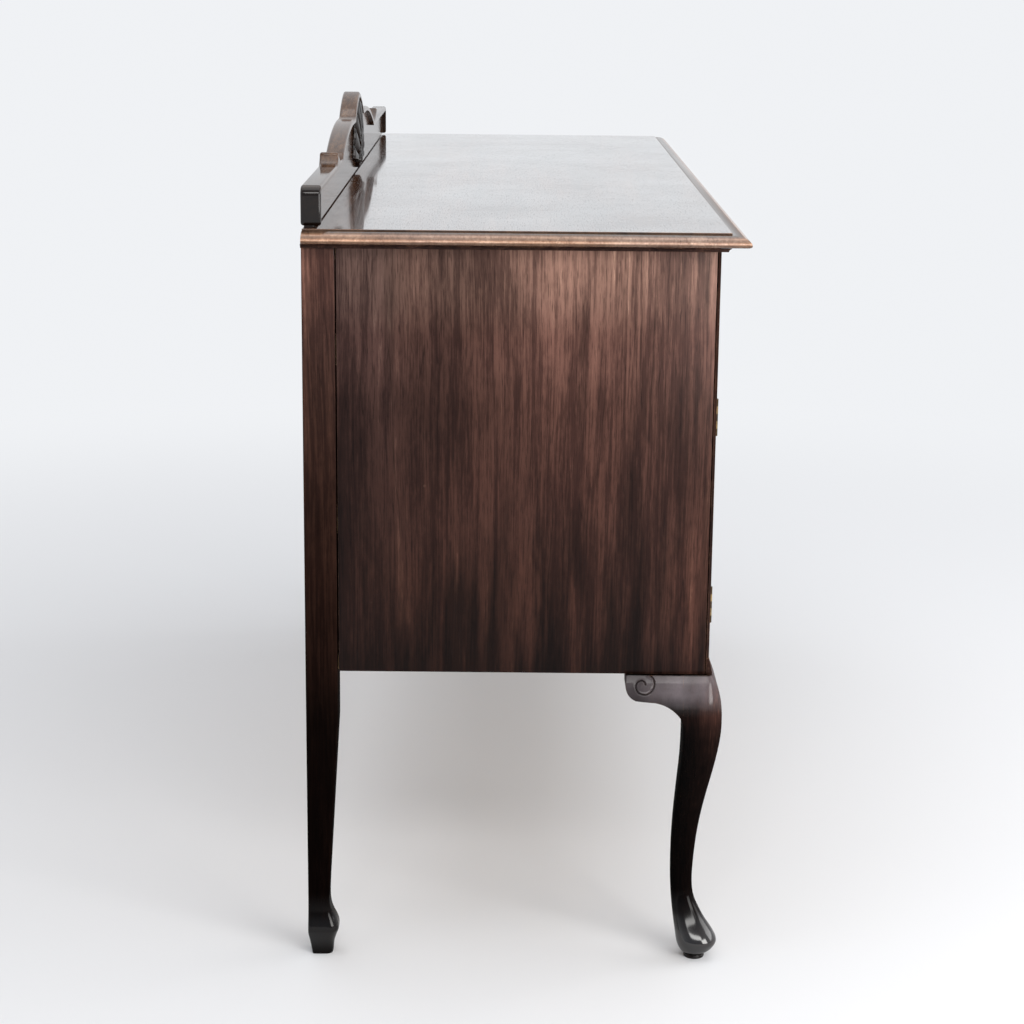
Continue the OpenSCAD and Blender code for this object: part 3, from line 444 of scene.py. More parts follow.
def paintedSheenOn(tree, axis, here, smears, bloom):
    # painted sheen: a pale reflection colour laid over the polish above a certain height, and ended just
    # under the carcase, where a painted shade line shows
    ragged = sums(tree, "ADD", axis["Z"], spread(tree, smears, 0.3, 0.7, -0.012, 0.012))
    uneven = noiseOf(tree, stretched(tree, here, (1, 1, 0.6), (2, 3, 1)), 30.0, 3.0)
    return times(tree, spread(tree, ragged, *bloom["height"], 0.0, bloom["share"]),
                 spread(tree, uneven, 0.36, 0.6, 0.62, 1.0),
                 spread(tree, axis["Y"], *bloom["depth"], 0.42, 1.0),
                 spread(tree, axis["Y"], *bloom["behind"], 1.0, 0.4),
                 spread(tree, axis["Z"], legTop - 0.0016, legTop - 0.0004, 1.0, 0.0))


def woodFinish(name, values, turn):
    # wood under a polish: stain by the grain, dark pores, worn edges, uneven gloss, and where the values give
    # them painted light, painted sheen and painted shade in the recesses
    material, tree, shader, here = newMaterial(name)
    axis = axesOf(tree, here)
    inputs = {"Vector": here, "Rotation": [math.radians(a) for a in turn], "Location": values["offset"]}
    laid = put(tree, "ShaderNodeMapping", inputs).outputs[0]
    wood = useGroup(tree, grain, {"Vector": laid, "Ribbon": values["ribbon"], "Streak": values["streak"],
                                  "Wander": values["wander"]})
    mark = useGroup(tree, marks, {"Vector": here, "Amount": 1.0})
    stain = rampOf(tree, spread(tree, wood["Tone"], *values["contrast"]), values["stain"])
    hue = noiseOf(tree, stretched(tree, laid, (3.2, 3.2, 1.0), (4, 1, 7)), 1.0, 2.0)
    colour = mixed(tree, spread(tree, hue, 0.42, 0.6, 0.0, 0.55), stain, (*values["gold"], 1), "OVERLAY")
    colour = mixed(tree, spread(tree, hue, 0.50, 0.36, 0.0, 0.45), colour, (*values["cool"], 1), "OVERLAY")
    clouds = noiseOf(tree, stretched(tree, laid, (1, 1, 0.5)), values["clouds"], 3.0, 0.5)
    shade = spread(tree, spread(tree, clouds, 0.35, 0.65), 0.0, 1.0, values["darkest"], 1.0)
    if values.get("fade"):
        colour, shade = paintedLight(tree, axis, values["fade"], colour, shade)
    if values.get("smears"):
        shade = darkRunsLow(tree, axis, laid, values["smears"], shade)
    shade = times(tree, shade, spread(tree, wood["Veins"], 0.0, 1.0, 1.0, values["veins"]))
    gray = put(tree, "ShaderNodeCombineXYZ", {0: shade, 1: shade, 2: shade}).outputs[0]
    colour = mixed(tree, 1.0, colour, gray, "MULTIPLY")
    if values.get("bloom"):
        # painted sheen laid over the colour
        sheenShare = paintedSheenOn(tree, axis, here, mark["Smears"], values["bloom"])
        colour = mixed(tree, sheenShare, colour, (*values["bloom"]["colour"], 1))
    colour = mixed(tree, times(tree, wood["Pores"], values["pores"]), colour, (*values["pore"], 1))
    worn = useGroup(tree, wear, {"Vector": here, "Width": values["wearWidth"], "Amount": values["wear"],
                                 "Cover": values["cover"]})["Worn"]
    worn = sums(tree, "MAXIMUM", worn, times(tree, mark["Nicks"], values["nicks"]))
    colour = mixed(tree, worn, colour, (*values["bare"], 1))
    if values["grime"]:
        # painted shade: the recesses, as ambient occlusion finds them, are darkened towards near black
        opened = put(tree, "ShaderNodeAmbientOcclusion", {"Distance": grime["reach"]}, samples=6)
        recessShadeShare = spread(tree, opened.outputs["AO"], grime["open"], grime["deep"], 0.0, values["grime"])
        colour = mixed(tree, recessShadeShare, colour, grime["colour"])
    smear = spread(tree, mark["Smears"], 0.3, 0.7, *values["gloss"])
    inputs = {"Strength": values["bump"], "Distance": 0.0006, "Height": wood["Height"]}
    bump = put(tree, "ShaderNodeBump", inputs)
    wire(tree, shader, {
        "Base Color": colour, "Roughness": sums(tree, "ADD", smear, times(tree, wood["Pores"], 0.12)),
        "Normal": bump.outputs[0], "Specular IOR Level": values["specular"], "Coat Weight": values["coat"],
        "Coat Roughness": values["coatRough"], "Coat IOR": values["coatIor"]})
    if values.get("coatRows"):
        # glossier where hands and dusters reach
        film = byHeight(tree, axis["Z"], values["coatRows"])
        wire(tree, shader, {"Coat Weight": put(tree, "ShaderNodeRGBToBW", {0: film}).outputs[0]})
    return material


def even(*rows):
    # heights with the same share for red, green and blue
    return [(height, (share, share, share)) for height, share in rows]


veneer = {
    "stain": [(0.0, (0.014, 0.0066, 0.0060)), (0.3, (0.042, 0.0205, 0.0168)),
              (0.66, (0.098, 0.0505, 0.0400)), (1.0, (0.21, 0.120, 0.092))],
    "gold": (0.56, 0.50, 0.44), "cool": (0.44, 0.46, 0.52), "contrast": (0.38, 0.62), "ribbon": 16.0,
    "streak": 95.0, "wander": 0.03, "clouds": 5.0, "darkest": 0.62, "pore": (0.012, 0.006, 0.005),
    "pores": 0.5, "veins": 0.6, "bare": (0.26, 0.15, 0.10),
    "wear": 0.35, "wearWidth": 0.0016, "cover": 0.0, "nicks": 0.2, "gloss": (0.36, 0.54), "bump": 0.25,
    "specular": 0.0, "coat": 0.2, "coatRough": 0.32, "coatIor": 1.5, "offset": (0, 0, 0), "grime": 0,
}
endVeneer = {
    **veneer, "offset": (0.31, 0.12, 0.4), "contrast": (0.35, 0.66), "darkest": 0.58, "clouds": 7.0,
    "veins": 0.5,
    # painted light: the veneer is lighter towards the top and the front, with a pale bluish painted sheen
    # near the top
    "fade": {"rows": [(0.38, (0.48, 0.38, 0.34)), (0.46, (0.64, 0.53, 0.49)), (0.6, (0.67, 0.59, 0.58)),
                      (0.7, (0.83, 0.77, 0.77)), (0.79, (1.42, 1.40, 1.44)), (0.87, (2.5, 2.85, 2.9)),
                      (0.92, (2.9, 3.4, 3.5))],
             "depth": (0.23, -0.23, 0.62, 1.45)},
    # darker towards the lower edge, in uneven runs
    "smears": {"height": (0.385, 0.66), "scale": 26.0, "least": 0.22},
}
polish = {
    **veneer,
    "stain": [(0.0, (0.030, 0.0105, 0.007)), (0.4, (0.075, 0.030, 0.018)), (0.7, (0.125, 0.055, 0.032)),
              (1.0, (0.19, 0.09, 0.052))],
    "gold": (0.58, 0.50, 0.40), "gloss": (0.16, 0.30), "specular": 0.16, "coat": 1.0, "coatRough": 0.05,
    "coatIor": 1.32, "bump": 0.08, "wear": 0.9, "bare": (0.48, 0.25, 0.13), "wearWidth": 0.0026,
    "cover": 0.08, "pores": 0.35, "nicks": 0.12,
}
edgeWood = {
    **polish,
    # lighter copper wood on the moulded edge: partly worn polish, partly painted highlight
    "stain": [(0.0, (0.17, 0.09, 0.056)), (0.4, (0.27, 0.155, 0.102)), (0.7, (0.35, 0.215, 0.148)),
              (1.0, (0.47, 0.31, 0.215))],
    "darkest": 0.8, "gloss": (0.20, 0.34), "specular": 0.0, "coat": 0.8, "coatRough": 0.09, "coatIor": 1.5,
    "wear": 0.2,
    # painted highlight and shade bands along the mouldings' arrises and hollows: a share by height, in mm
    # above the underside
    "fade": {"rows": even(*((topLow.z + height * mm, share) for height, share in (
        (0, 0.05), (2.6, 0.09), (3.3, 0.7), (4.6, 0.36), (5.8, 0.8), (6.9, 1.85), (8.0, 1.9), (8.9, 1.0),
        (10.2, 0.72), (11.4, 0.95), (12.6, 1.35), (13.7, 0.85), (14.9, 0.42), (15.7, 0.3), (16.2, 0.1),
        (18, 0.09)))),
             "depth": (0.3, 0.4, 1.0, 1.0)},
}
galleryWood = {
    **polish,
    "stain": [(0.0, (0.035, 0.016, 0.009)), (0.4, (0.085, 0.042, 0.024)), (0.7, (0.14, 0.075, 0.042)),
              (1.0, (0.20, 0.115, 0.066))],
    "gloss": (0.26, 0.42), "specular": 0.0, "coat": 0.8, "coatRough": 0.1, "coatIor": 1.5, "wear": 0.25,
    "cover": -0.04, "wearWidth": 0.0014, "grime": 0.8,
    # painted shade: darker low down and towards the ends, lighter higher up
    "fade": {"rows": even((topSurface, 0.55), (topSurface + 0.049, 0.7), (topSurface + 0.064, 0.9),
                          (topSurface + 0.10, 1.15)),
             "depth": (0.3, 0.4, 1.0, 1.0), "ends": (halfLength - 0.014, halfLength - 0.002, 1.0, 0.1)},
}
darkWood = {
    **veneer,
    "stain": [(0.0, (0.009, 0.004, 0.0032)), (0.45, (0.027, 0.0120, 0.0090)), (0.75, (0.050, 0.023, 0.0165)),
              (1.0, (0.09, 0.042, 0.030))],
    "gloss": (0.26, 0.42), "coat": 0.16, "coatRough": 0.16, "wear": 0.6, "bump": 0.16,
    "bare": (0.22, 0.115, 0.066), "wearWidth": 0.0018,
}
legWood = {
    **darkWood,
    "stain": [(0.0, (0.006, 0.0026, 0.0020)), (0.45, (0.019, 0.0080, 0.0058)), (0.75, (0.042, 0.018, 0.012)),
              (1.0, (0.080, 0.036, 0.023))],
    "coat": 0.2, "coatRough": 0.13, "coatIor": 1.9, "wear": 0.5, "nicks": 0.4, "grime": 0.9, "pores": 0.12,
    "coatRows": even((0.0, 0.2), (0.012, 0.65), (0.032, 0.75), (0.048, 0.45), (0.062, 0.14), (0.09, 0.02),
                     (legTop - 0.052, 0.03), (legTop - 0.034, 0.28), (legTop - 0.014, 0.22), (legTop, 0.08)),
    # painted light: the knees lighter and the shank dark, the back darker than the front, and a painted shade
    # line right under the carcase
    "fade": {"rows": even((0.0, 0.2), (legTop - 0.14, 0.22), (legTop - 0.085, 0.32), (legTop - 0.068, 0.6),
                          (legTop - 0.048, 1.4), (legTop - 0.003, 1.8), (legTop, 0.3)),
             "depth": (faceY + 0.034, faceY - 0.008, 0.2, 1.4)},
    # painted sheen: a pale lilac-grey reflection laid on the knees
    "bloom": {"height": (legTop - 0.046, legTop - 0.026), "share": 0.72, "colour": (0.168, 0.142, 0.150),
              "depth": (faceY - 0.015, faceY + 0.006), "behind": (faceY + 0.034, faceY + 0.088)},
}
postWood = {
    **legWood, "stain": darkWood["stain"], "offset": (0.5, 0.3, 0), "bloom": None, "nicks": 0.0, "wear": 0.3,
    "bare": (0.11, 0.058, 0.036), "coatIor": 1.5,
    "coatRows": even((0.0, 0.2), (0.02, 0.7), (0.042, 0.6), (0.058, 0.2), (0.085, 0.02), (0.45, 0.03),
                     (0.93, 0.2)),
    # painted light: darker low down, lighter towards the top
    "fade": {"rows": even((0.0, 0.06), (0.3, 0.06), (0.42, 0.3), (0.55, 0.66), (0.7, 1.05), (0.93, 2.85)),
             "depth": (0.2, 0.3, 1.0, 1.0)},
}
carvedWood = {
    **legWood,
    # painted shade: the carving's stain is near black, for the shade of its deep relief
    "stain": [(0.0, (0.003, 0.0018, 0.0014)), (0.5, (0.010, 0.0050, 0.0036)), (1.0, (0.035, 0.018, 0.012))],
    # pale worn edges and nicks on the carving: partly wear, partly painted highlights on its ridges
    "coat": 0.5, "coatRough": 0.14, "coatIor": 1.5, "gloss": (0.4, 0.6), "nicks": 0.4, "fade": None,
    "bloom": None, "grime": 1.0, "coatRows": None, "wear": 0.8, "wearWidth": 0.001, "cover": 0.03,
    "bare": (0.30, 0.22, 0.17),
}
oakWood = {
    **veneer,
    "stain": [(0.0, (0.22, 0.13, 0.06)), (0.5, (0.36, 0.235, 0.12)), (1.0, (0.50, 0.36, 0.20))],
    "gold": (0.5, 0.5, 0.47), "darkest": 0.8, "pore": (0.16, 0.09, 0.04), "bare": (0.55, 0.42, 0.26),
    "gloss": (0.5, 0.65), "specular": 0.3, "coat": 0.0, "wear": 0.2, "pores": 0.7, "bump": 0.4,
}
plyWood = {
    **oakWood,
    "stain": [(0.0, (0.16, 0.085, 0.045)), (0.5, (0.25, 0.145, 0.08)), (1.0, (0.34, 0.21, 0.12))],
    "ribbon": 7.0, "streak": 34.0, "wander": 0.05,
}

endMahogany = woodFinish("endMahogany", endVeneer, alongZ)
frontMahogany = woodFinish("frontMahogany", {**veneer, "offset": (0.2, 0, 0.1)}, alongX)
doorMahogany = woodFinish("doorMahogany", {**veneer, "offset": (0.7, 0.1, 0)}, alongZ)
topMahogany = woodFinish("topMahogany", polish, alongX)
edgeMahogany = woodFinish("edgeMahogany", edgeWood, alongX)
galleryMahogany = woodFinish("galleryMahogany", galleryWood, alongX)
railMahogany = woodFinish("railMahogany", darkWood, alongX)
stileMahogany = woodFinish("stileMahogany", darkWood, alongZ)
legMahogany = woodFinish("legMahogany", legWood, alongZ)
postMahogany = woodFinish("postMahogany", postWood, alongZ)
carvedMahogany = woodFinish("carvedMahogany", carvedWood, alongX)
oakAlongX = woodFinish("oakAlongX", oakWood, alongX)
oakAlongY = woodFinish("oakAlongY", oakWood, alongY)
plyAlongX = woodFinish("plyAlongX", plyWood, alongX)


def metalFinish(name, values):
    # cast metal with a brown patina that stays in the low places
    material, tree, shader, here = newMaterial(name)
    patches = spread(tree, noiseOf(tree, here, 90.0, 5.0, 0.65), 0.36, 0.66)
    specks = spread(tree, noiseOf(tree, here, 520.0, 3.0, 0.6), 0.5, 0.72)
    colour = mixed(tree, patches, (*values["bright"], 1), (*values["dull"], 1))
    colour = mixed(tree, times(tree, specks, values["specks"]), colour, (*values["stain"], 1))
    worn = useGroup(tree, wear, {"Vector": here, "Width": 0.0008, "Patches": 160.0, "Amount": 0.8})["Worn"]
    colour = mixed(tree, worn, colour, (*values["edge"], 1))
    bump = put(tree, "ShaderNodeBump", {"Strength": 0.25, "Distance": 0.0002, "Height": patches})
    wire(tree, shader, {"Base Color": colour, "Roughness": spread(tree, patches, 0.0, 1.0, *values["gloss"]),
                        "Normal": bump.outputs[0], "Metallic": 1.0})
    return material


brass = metalFinish("brass", {
    "bright": (0.48, 0.33, 0.14), "dull": (0.21, 0.135, 0.062), "stain": (0.05, 0.032, 0.02),
    "edge": (0.74, 0.56, 0.30), "specks": 0.6, "gloss": (0.24, 0.44)})
agedBrass = metalFinish("agedBrass", {
    "bright": (0.11, 0.07, 0.034), "dull": (0.045, 0.03, 0.018), "stain": (0.02, 0.014, 0.01),
    "edge": (0.34, 0.24, 0.12), "specks": 0.6, "gloss": (0.34, 0.52)})
steel = metalFinish("steel", {
    "bright": (0.42, 0.41, 0.40), "dull": (0.22, 0.20, 0.19), "stain": (0.10, 0.06, 0.04),
    "edge": (0.60, 0.58, 0.56), "specks": 0.7, "gloss": (0.35, 0.55)})
print("finishes made")


# Top

top = {"overhang": 33 * mm, "mould": 22 * mm, "fillet": 2 * mm, "bed": 11 * mm, "nose": 0.28, "steps": 10,
       "lip": 8 * mm, "lipRise": 1.8 * mm}


def topProfile():
    # (projection, height) pairs of the moulded edge, from the underside up
    thick = topHigh.z - topLow.z
    nose = thick * top["nose"]
    inner = top["overhang"] - top["mould"]
    lip = top["overhang"] - top["lip"]
    fillet = thick - top["fillet"]
    return ([(top["bed"] - 1 * mm, 0), (lip, top["lipRise"])]
            + arc((lip, nose), top["lip"], nose - top["lipRise"], -80, 0, top["steps"])
            + arc((inner + 1 * mm, nose), top["mould"] - 1 * mm, fillet - nose, 6, 82, top["steps"] + 4)
            + [(inner + 0.8 * mm, fillet - 0.7 * mm), (inner, fillet - 0.4 * mm),
               (inner, thick - 0.5 * mm), (inner - 0.5 * mm, thick)])


def topBoard():
    rings = topProfile()
    back = topHigh.y
    out, up = rings[0]
    depth = back - faceY + out
    bpy.ops.mesh.primitive_plane_add(size=1, location=(0, back - depth / 2, topLow.z + up))
    piece = bpy.context.object
    piece.name = "topBoard"
    piece.scale = (2 * (halfLength + out), depth, 1)
    settle(piece)
    editing(piece)
    for (out, up), (nextOut, nextUp) in zip(rings, rings[1:]):
        grow = nextOut - out
        depth = back - faceY + out
        extrude((0, -grow / 2, nextUp - up))
        wider = (halfLength + nextOut) / (halfLength + out)
        bpy.ops.transform.resize(value=(wider, (depth + grow) / depth, 1))
    closeUp()
    smooth(piece, 30)
    finishes(piece, topMahogany, edgeMahogany)
    # the moulded edge takes the edge finish, with its painted highlight and shade bands
    edgeFrom = top["overhang"] - top["mould"] - 0.2 * mm
    for face in piece.data.polygons:
        beyond = max(abs(face.center.x) - halfLength, faceY - face.center.y)
        face.material_index = int(beyond > edgeFrom and face.center.y < back - 0.1 * mm)
    fitted(piece, "carcase", "polished_top", None, "top_board")


topBoard()
eased("bed_moulding", 0.3 * mm, railMahogany, "dark_mahogany")
print("top made")


# Gallery

gallery = {"low": 49.5 * mm, "scroll": 64.5 * mm, "ledge": 86 * mm, "top": 117 * mm, "arch": 94 * mm,
           "ledgeEnd": 155 * mm, "riser": 352 * mm, "gap": 26 * mm, "scrollLength": 93 * mm, "tip": 4 * mm,
           "corner": 12 * mm, "rim": 7 * mm, "recess": 6 * mm, "round": 3.4 * mm, "gapUnder": 2.0 * mm,
           "toe": 5 * mm, "footInset": 4 * mm}
galleryFace = boardLow.y + gallery["recess"]


def galleryHalf(g):
    # half outline from the centre to the end
    begin = g["riser"] + 4 * mm + g["gap"]
    end, crest, tip = begin + g["scrollLength"], begin + g["scrollLength"] * 0.66, g["tip"]
    low, ledge, scroll = g["low"], g["ledge"], g["scroll"]
    return (bow((0, g["top"]), (g["arch"], ledge), 5 * mm, 18) + [(g["arch"], ledge)]
            + bow((g["ledgeEnd"], ledge), (g["riser"], low + 4 * mm), 7 * mm, 20)
            + [(g["riser"], low + 4 * mm), (g["riser"] + 4 * mm, low)]
            + bow((begin, low), (crest - tip, scroll - 1 * mm), -2.5 * mm, 14)
            + arc((crest, scroll - tip), tip, tip, 120, 20, 10)
            + bow((crest + tip, scroll - tip), (end, low), -3.5 * mm, 14)
            + [(end, low)]
            + arc((halfLength - g["corner"], low - g["corner"]), g["corner"], g["corner"], 90, 0, 12)
            + arc((halfLength - g["toe"], g["gapUnder"] + g["toe"]), g["toe"], g["toe"], 0, -90, 5))


def galleryInner(g):
    # half outline of the recessed face, from the end back to the centre
    low, ledge, end = g["low"] - g["rim"], g["ledge"] - g["rim"], halfLength - g["rim"]
    return ([(end, -5 * mm)] + arc((end - 6 * mm, low - 6 * mm), 6 * mm, 6 * mm, 0, 90, 8)
            + [(g["riser"] + 3 * mm, low), (g["riser"] - 2 * mm, low + 4 * mm)]
            + bow((g["riser"] - 2 * mm, low + 4 * mm), (g["ledgeEnd"] - 2 * mm, ledge), -7 * mm, 20)[1:]
            + [(g["ledgeEnd"] - 2 * mm, ledge), (g["arch"], ledge)]
            + bow((g["arch"], ledge), (0, g["top"] - g["rim"]), -5 * mm, 18)[1:])


def cutBoard(name, outline, thickness, arris, steps=3):
    # board sawn to an outline in XY, its arrises rounded, front face up
    shape = bpy.data.curves.new(name, "CURVE")
    shape.dimensions, shape.fill_mode = "2D", "BOTH"
    shape.extrude, shape.bevel_depth, shape.bevel_resolution = thickness / 2 - arris, arris, steps
    shape.offset = -arris
    return curveMesh(name, shape, [(x, y, 0) for x, y in outline])


def galleryBoard():
    # back board with its face sunk inside a rim, and the foot that stands on the top
    g = gallery
    half, inner = galleryHalf(g), galleryInner(g)
    board = cutBoard("galleryBoard", half + flipped(half[1:]), boardHigh.y - boardLow.y, g["round"], 6)
    board.location = (0, (boardLow.y + boardHigh.y) / 2, topSurface)
    settle(board, (90, 0, 0))
    sunk = cutBoard("gallerySunk", inner + flipped(inner), 2 * g["recess"], 0)
    sunk.location = (0, boardLow.y, topSurface)
    settle(sunk, (90, 0, 0))
    useModifier(board, "BOOLEAN", object=sunk, operation="DIFFERENCE", solver="EXACT")
    bpy.data.objects.remove(sunk)
    place = (0, (galleryFace + boardHigh.y) / 2, topSurface + g["gapUnder"])
    bpy.ops.mesh.primitive_cube_add(size=1, location=place)
    foot = bpy.context.object
    inset = 2 * g["footInset"]
    foot.scale = (2 * halfLength - inset, boardHigh.y - galleryFace - inset, 2 * g["gapUnder"])
    settle(foot)
    whole = joined("galleryBoard", [board, foot])
    smooth(whole, 30)
    fitted(whole, "carcase", "polished_top", galleryMahogany, "gallery_board")


galleryBoard()
print("gallery made")


# Carved shell on the gallery

carving = {"foot": 14 * mm, "depth": 10 * mm, "shell": 94 * mm, "ribs": 9, "inner": 0.5, "step": 1.7 * mm}


def reliefGrid(name, across, along, placed, backTo):
    # grid whose points are placed in code, closed back to a flat face
    bpy.ops.mesh.primitive_grid_add(x_subdivisions=across, y_subdivisions=along, size=1)
    piece = bpy.context.object
    piece.name = name
    editing(piece)
    mesh = bmesh.from_edit_mesh(piece.data)
    for v in mesh.verts:
        v.co = placed(v.co.x + 0.5, v.co.y + 0.5)
    bmesh.update_edit_mesh(piece.data)
    choose(piece, "edges", lambda edge: len(edge.link_faces) == 1)
    bpy.ops.mesh.extrude_region_move()
    mesh = bmesh.from_edit_mesh(piece.data)
    for v in mesh.verts:
        if v.select:
            v.co = backTo(v.co)
    bmesh.update_edit_mesh(piece.data)
    bpy.ops.mesh.edge_face_add()
    closeUp(0.01 * mm)
    return piece


def softStep(value, low, high):
    t = max(0, min(1, (value - low) / (high - low)))
    return t * t * (3 - 2 * t)


def carvedShell():
    c = carving
    foot = topSurface + c["foot"]

    def placed(s, t):
        turn = math.radians(8 + 164 * s)
        wave = (turn - math.pi / 2) * c["ribs"]
        rib = abs(math.cos(wave))
        edge = c["shell"] * (0.945 + 0.05 * rib)
        r = 6 * mm + (edge - 6 * mm) * t
        dome = math.sin(math.pi * (0.14 + 0.74 * t)) ** 0.8 * (0.68 + 0.32 * math.sin(turn))
        groove = (1 - rib) ** 1.6
        out = 1.9 + 3.9 * dome
        out += 4.1 * rib ** 0.6 * dome * min(1, 2.5 * t)
        out -= 2.2 * groove * dome * min(1, 2.5 * t)
        # an inner, smaller fan lies on the large one
        inner = c["inner"] * (0.92 + 0.08 * abs(math.sin(wave)))
        out += c["step"] / mm * (1 - softStep(t, inner - 0.012, inner + 0.012))
        out -= 0.9 * math.exp(-((t - inner - 0.03) / 0.022) ** 2)
        out -= 2.6 * softStep(t, 0.95, 1.0)
        out = max(1.2, min(out, c["depth"] / mm))
        return Vector((r * math.cos(turn), galleryFace - out * mm, foot + r * math.sin(turn)))

    return reliefGrid("carvedShell", 270, 64, placed, lambda co: Vector((co.x, galleryFace, co.z)))


def turnedBoss(x, z, steps):
    # boss in rounded steps: (radius, distance in front) pairs from the ground outwards
    radius, front = steps[0]
    bpy.ops.mesh.primitive_circle_add(vertices=36, radius=radius * mm, location=(x * mm, galleryFace, z),
                                      rotation=(math.pi / 2, 0, 0), fill_type="NGON")
    boss = bpy.context.object
    boss.name = "turnedBoss"
    settle(boss)
    editing(boss)
    for nextRadius, nextFront in steps[1:]:
        extrude((0, (front - nextFront) * mm, 0))
        bpy.ops.transform.resize(value=(nextRadius / radius, 1, nextRadius / radius))
        radius, front = nextRadius, nextFront
    closeUp()
    return boss


def galleryCarving():
    foot = topSurface + carving["foot"]
    eye = [(8.6, 0), (8.6, 5.2), (7.8, 6.2), (6.6, 6.3), (6.0, 5.4), (5.2, 5.4), (4.6, 6.8), (3.4, 7.8),
           (1.6, 8.3), (0.4, 8.4)]
    middle = [(7.6, 0), (7.6, 6.6), (6.6, 8.4), (4.6, 9.4), (2.4, 9.8), (0.5, 9.9)]
    drop = [(4.4, 0), (4.4, 4), (3.6, 5.4), (2.2, 6.2), (0.4, 6.5)]
    pieces = [carvedShell(), turnedBoss(-12.4, foot + 3.2 * mm, eye), turnedBoss(12.4, foot + 3.2 * mm, eye),
              turnedBoss(0, foot + 6 * mm, middle), turnedBoss(0, foot - 4 * mm, drop)]
    whole = joined("galleryCarving", pieces)
    smooth(whole, 40)
    fitted(whole, "carcase", "dark_mahogany", carvedMahogany, "gallery_carving")


galleryCarving()
print("carving made")


# Legs

def ringPoints(x0, x1, y0, y1, radii, z, steps=7):
    # closed ring of a rounded rectangle, with its own radius at each corner
    r00, r10, r11, r01 = radii
    corners = [(x0 + r00, y0 + r00, r00, 180), (x1 - r10, y0 + r10, r10, 270),
               (x1 - r11, y1 - r11, r11, 0), (x0 + r01, y1 - r01, r01, 90)]
    points = []
    for cx, cy, r, start in corners:
        for i in range(steps + 1):
            a = math.radians(start + 90 * i / steps)
            points.append(Vector((cx + r * math.cos(a), cy + r * math.sin(a), z)))
    return points


def byTurn(points, where):
    # the points in the order of their angle about their own middle
    middle = sum((where(p) for p in points), Vector()) / len(points)
    return sorted(points, key=lambda p: math.atan2(where(p).y - middle.y, where(p).x - middle.x))


def placeRing(piece, ring):
    mesh = bmesh.from_edit_mesh(piece.data)
    chosen = byTurn([v for v in mesh.verts if v.select], lambda v: v.co)
    for v, point in zip(chosen, byTurn(ring, lambda p: p)):
        v.co = point
    bmesh.update_edit_mesh(piece.data)


def ringLoft(name, rings, sharp=(0, -1)):
    # leg drawn up through its stations from a circle, ring by ring, then subdivided
    bpy.ops.mesh.primitive_circle_add(vertices=len(rings[0]), radius=0.02, fill_type="NGON")
    leg = bpy.context.object
    leg.name = name
    editing(leg)
    placeRing(leg, rings[0])
    for ring in rings[1:]:
        extrude((0, 0, 0.001))
        placeRing(leg, ring)
    levels = [rings[i][0].z for i in sharp]
    choose(leg, "edges", lambda e: any(abs(v.co.z - z) < 1e-6 for z in levels for v in e.verts)
           and abs(e.verts[0].co.z - e.verts[1].co.z) < 1e-6)
    bpy.ops.transform.edge_crease(value=1)
    closeUp()
    useModifier(leg, "SUBSURF", levels=1, render_levels=1)
    smooth(leg, 50)
    return leg


def fitLegs(left, place, material):
    # the left leg and its mirror image, in the nodes of both
    right = copyOf(left, place + "RightLeg", flipX=True)
    fitted(left, "carcase", "leg_mahogany", material, place + "_left_leg")
    fitted(right, "carcase", "leg_mahogany", material, place + "_right_leg")


frontLeg = {
    # height, outer projection, inner depth, radius of the outer corner and of the others
    "foot": [(0, 5.4, 19.4, 12, 12), (0.6, 6, 20, 12.4, 12.4), (2.6, 6.4, 20.4, 12.8, 12.8),
             (3.3, 5.9, 19.9, 12.4, 12.4), (3.8, 5, 19, 11.6, 11.6), (4.6, 5.2, 19.3, 12, 12),
             (7, 8, 22, 14.5, 14.5), (10, 12, 25, 17, 17.5), (13.5, 15.4, 27, 19, 20),
             (17, 17.8, 28.6, 21, 22), (20.5, 19.8, 29.8, 22, 23.5), (24, 20.7, 30.6, 22, 24.5),
             (27, 20.6, 31.1, 22, 24.5), (30, 19.4, 31.5, 22, 24.5), (33.5, 17.3, 32, 20.5, 23.5),
             (37.5, 14.6, 32.6, 19, 22), (42, 11, 33.3, 17, 20.5), (47, 7.1, 34, 15, 19),
             (52.5, 3.4, 34.7, 13.5, 17.5), (58, 0.3, 35.3, 12, 16), (68, -5.2, 36.5, 11, 14),
             (78.5, -9.2, 37.3, 11, 12), (92, -10.9, 38.2, 11, 11), (106, -11.2, 39, 11, 11)],
    "shank": [(0.144, -9.8, 39.2, 11, 10), (0.289, -7.4, 38.9, 12, 10), (0.433, -3.6, 37.6, 13, 9),
              (0.575, 1.4, 35.7, 14, 8), (0.717, 7.1, 33.6, 15, 7), (0.859, 12.7, 31.2, 15, 6)],
    "knee": [(86, 17.1, 30.6, 17, 5), (73, 18.4, 30.4, 18.5, 4.5), (64, 18.8, 30.7, 20, 4),
             (58.5, 18.8, 31.6, 20.5, 2.6), (55, 18.75, 33, 20.5, 1.2), (52.4, 18.7, 34, 20.5, 0.5),
             (46, 18.4, 34, 20.5, 0.5), (39, 17.9, 34, 20.5, 0.5), (33, 17, 34, 20, 0.5),
             (27, 15.7, 34, 18.5, 0.5), (21, 14, 34, 16.5, 0.5), (15, 11.7, 34, 13.5, 0.5),
             (9, 9, 34, 9.6, 0.5), (4, 6.5, 34, 8.4, 0.5), (0, 4.5, 34, 7.4, 0.5)],
    "footTop": 106, "kneeLow": 86,
}


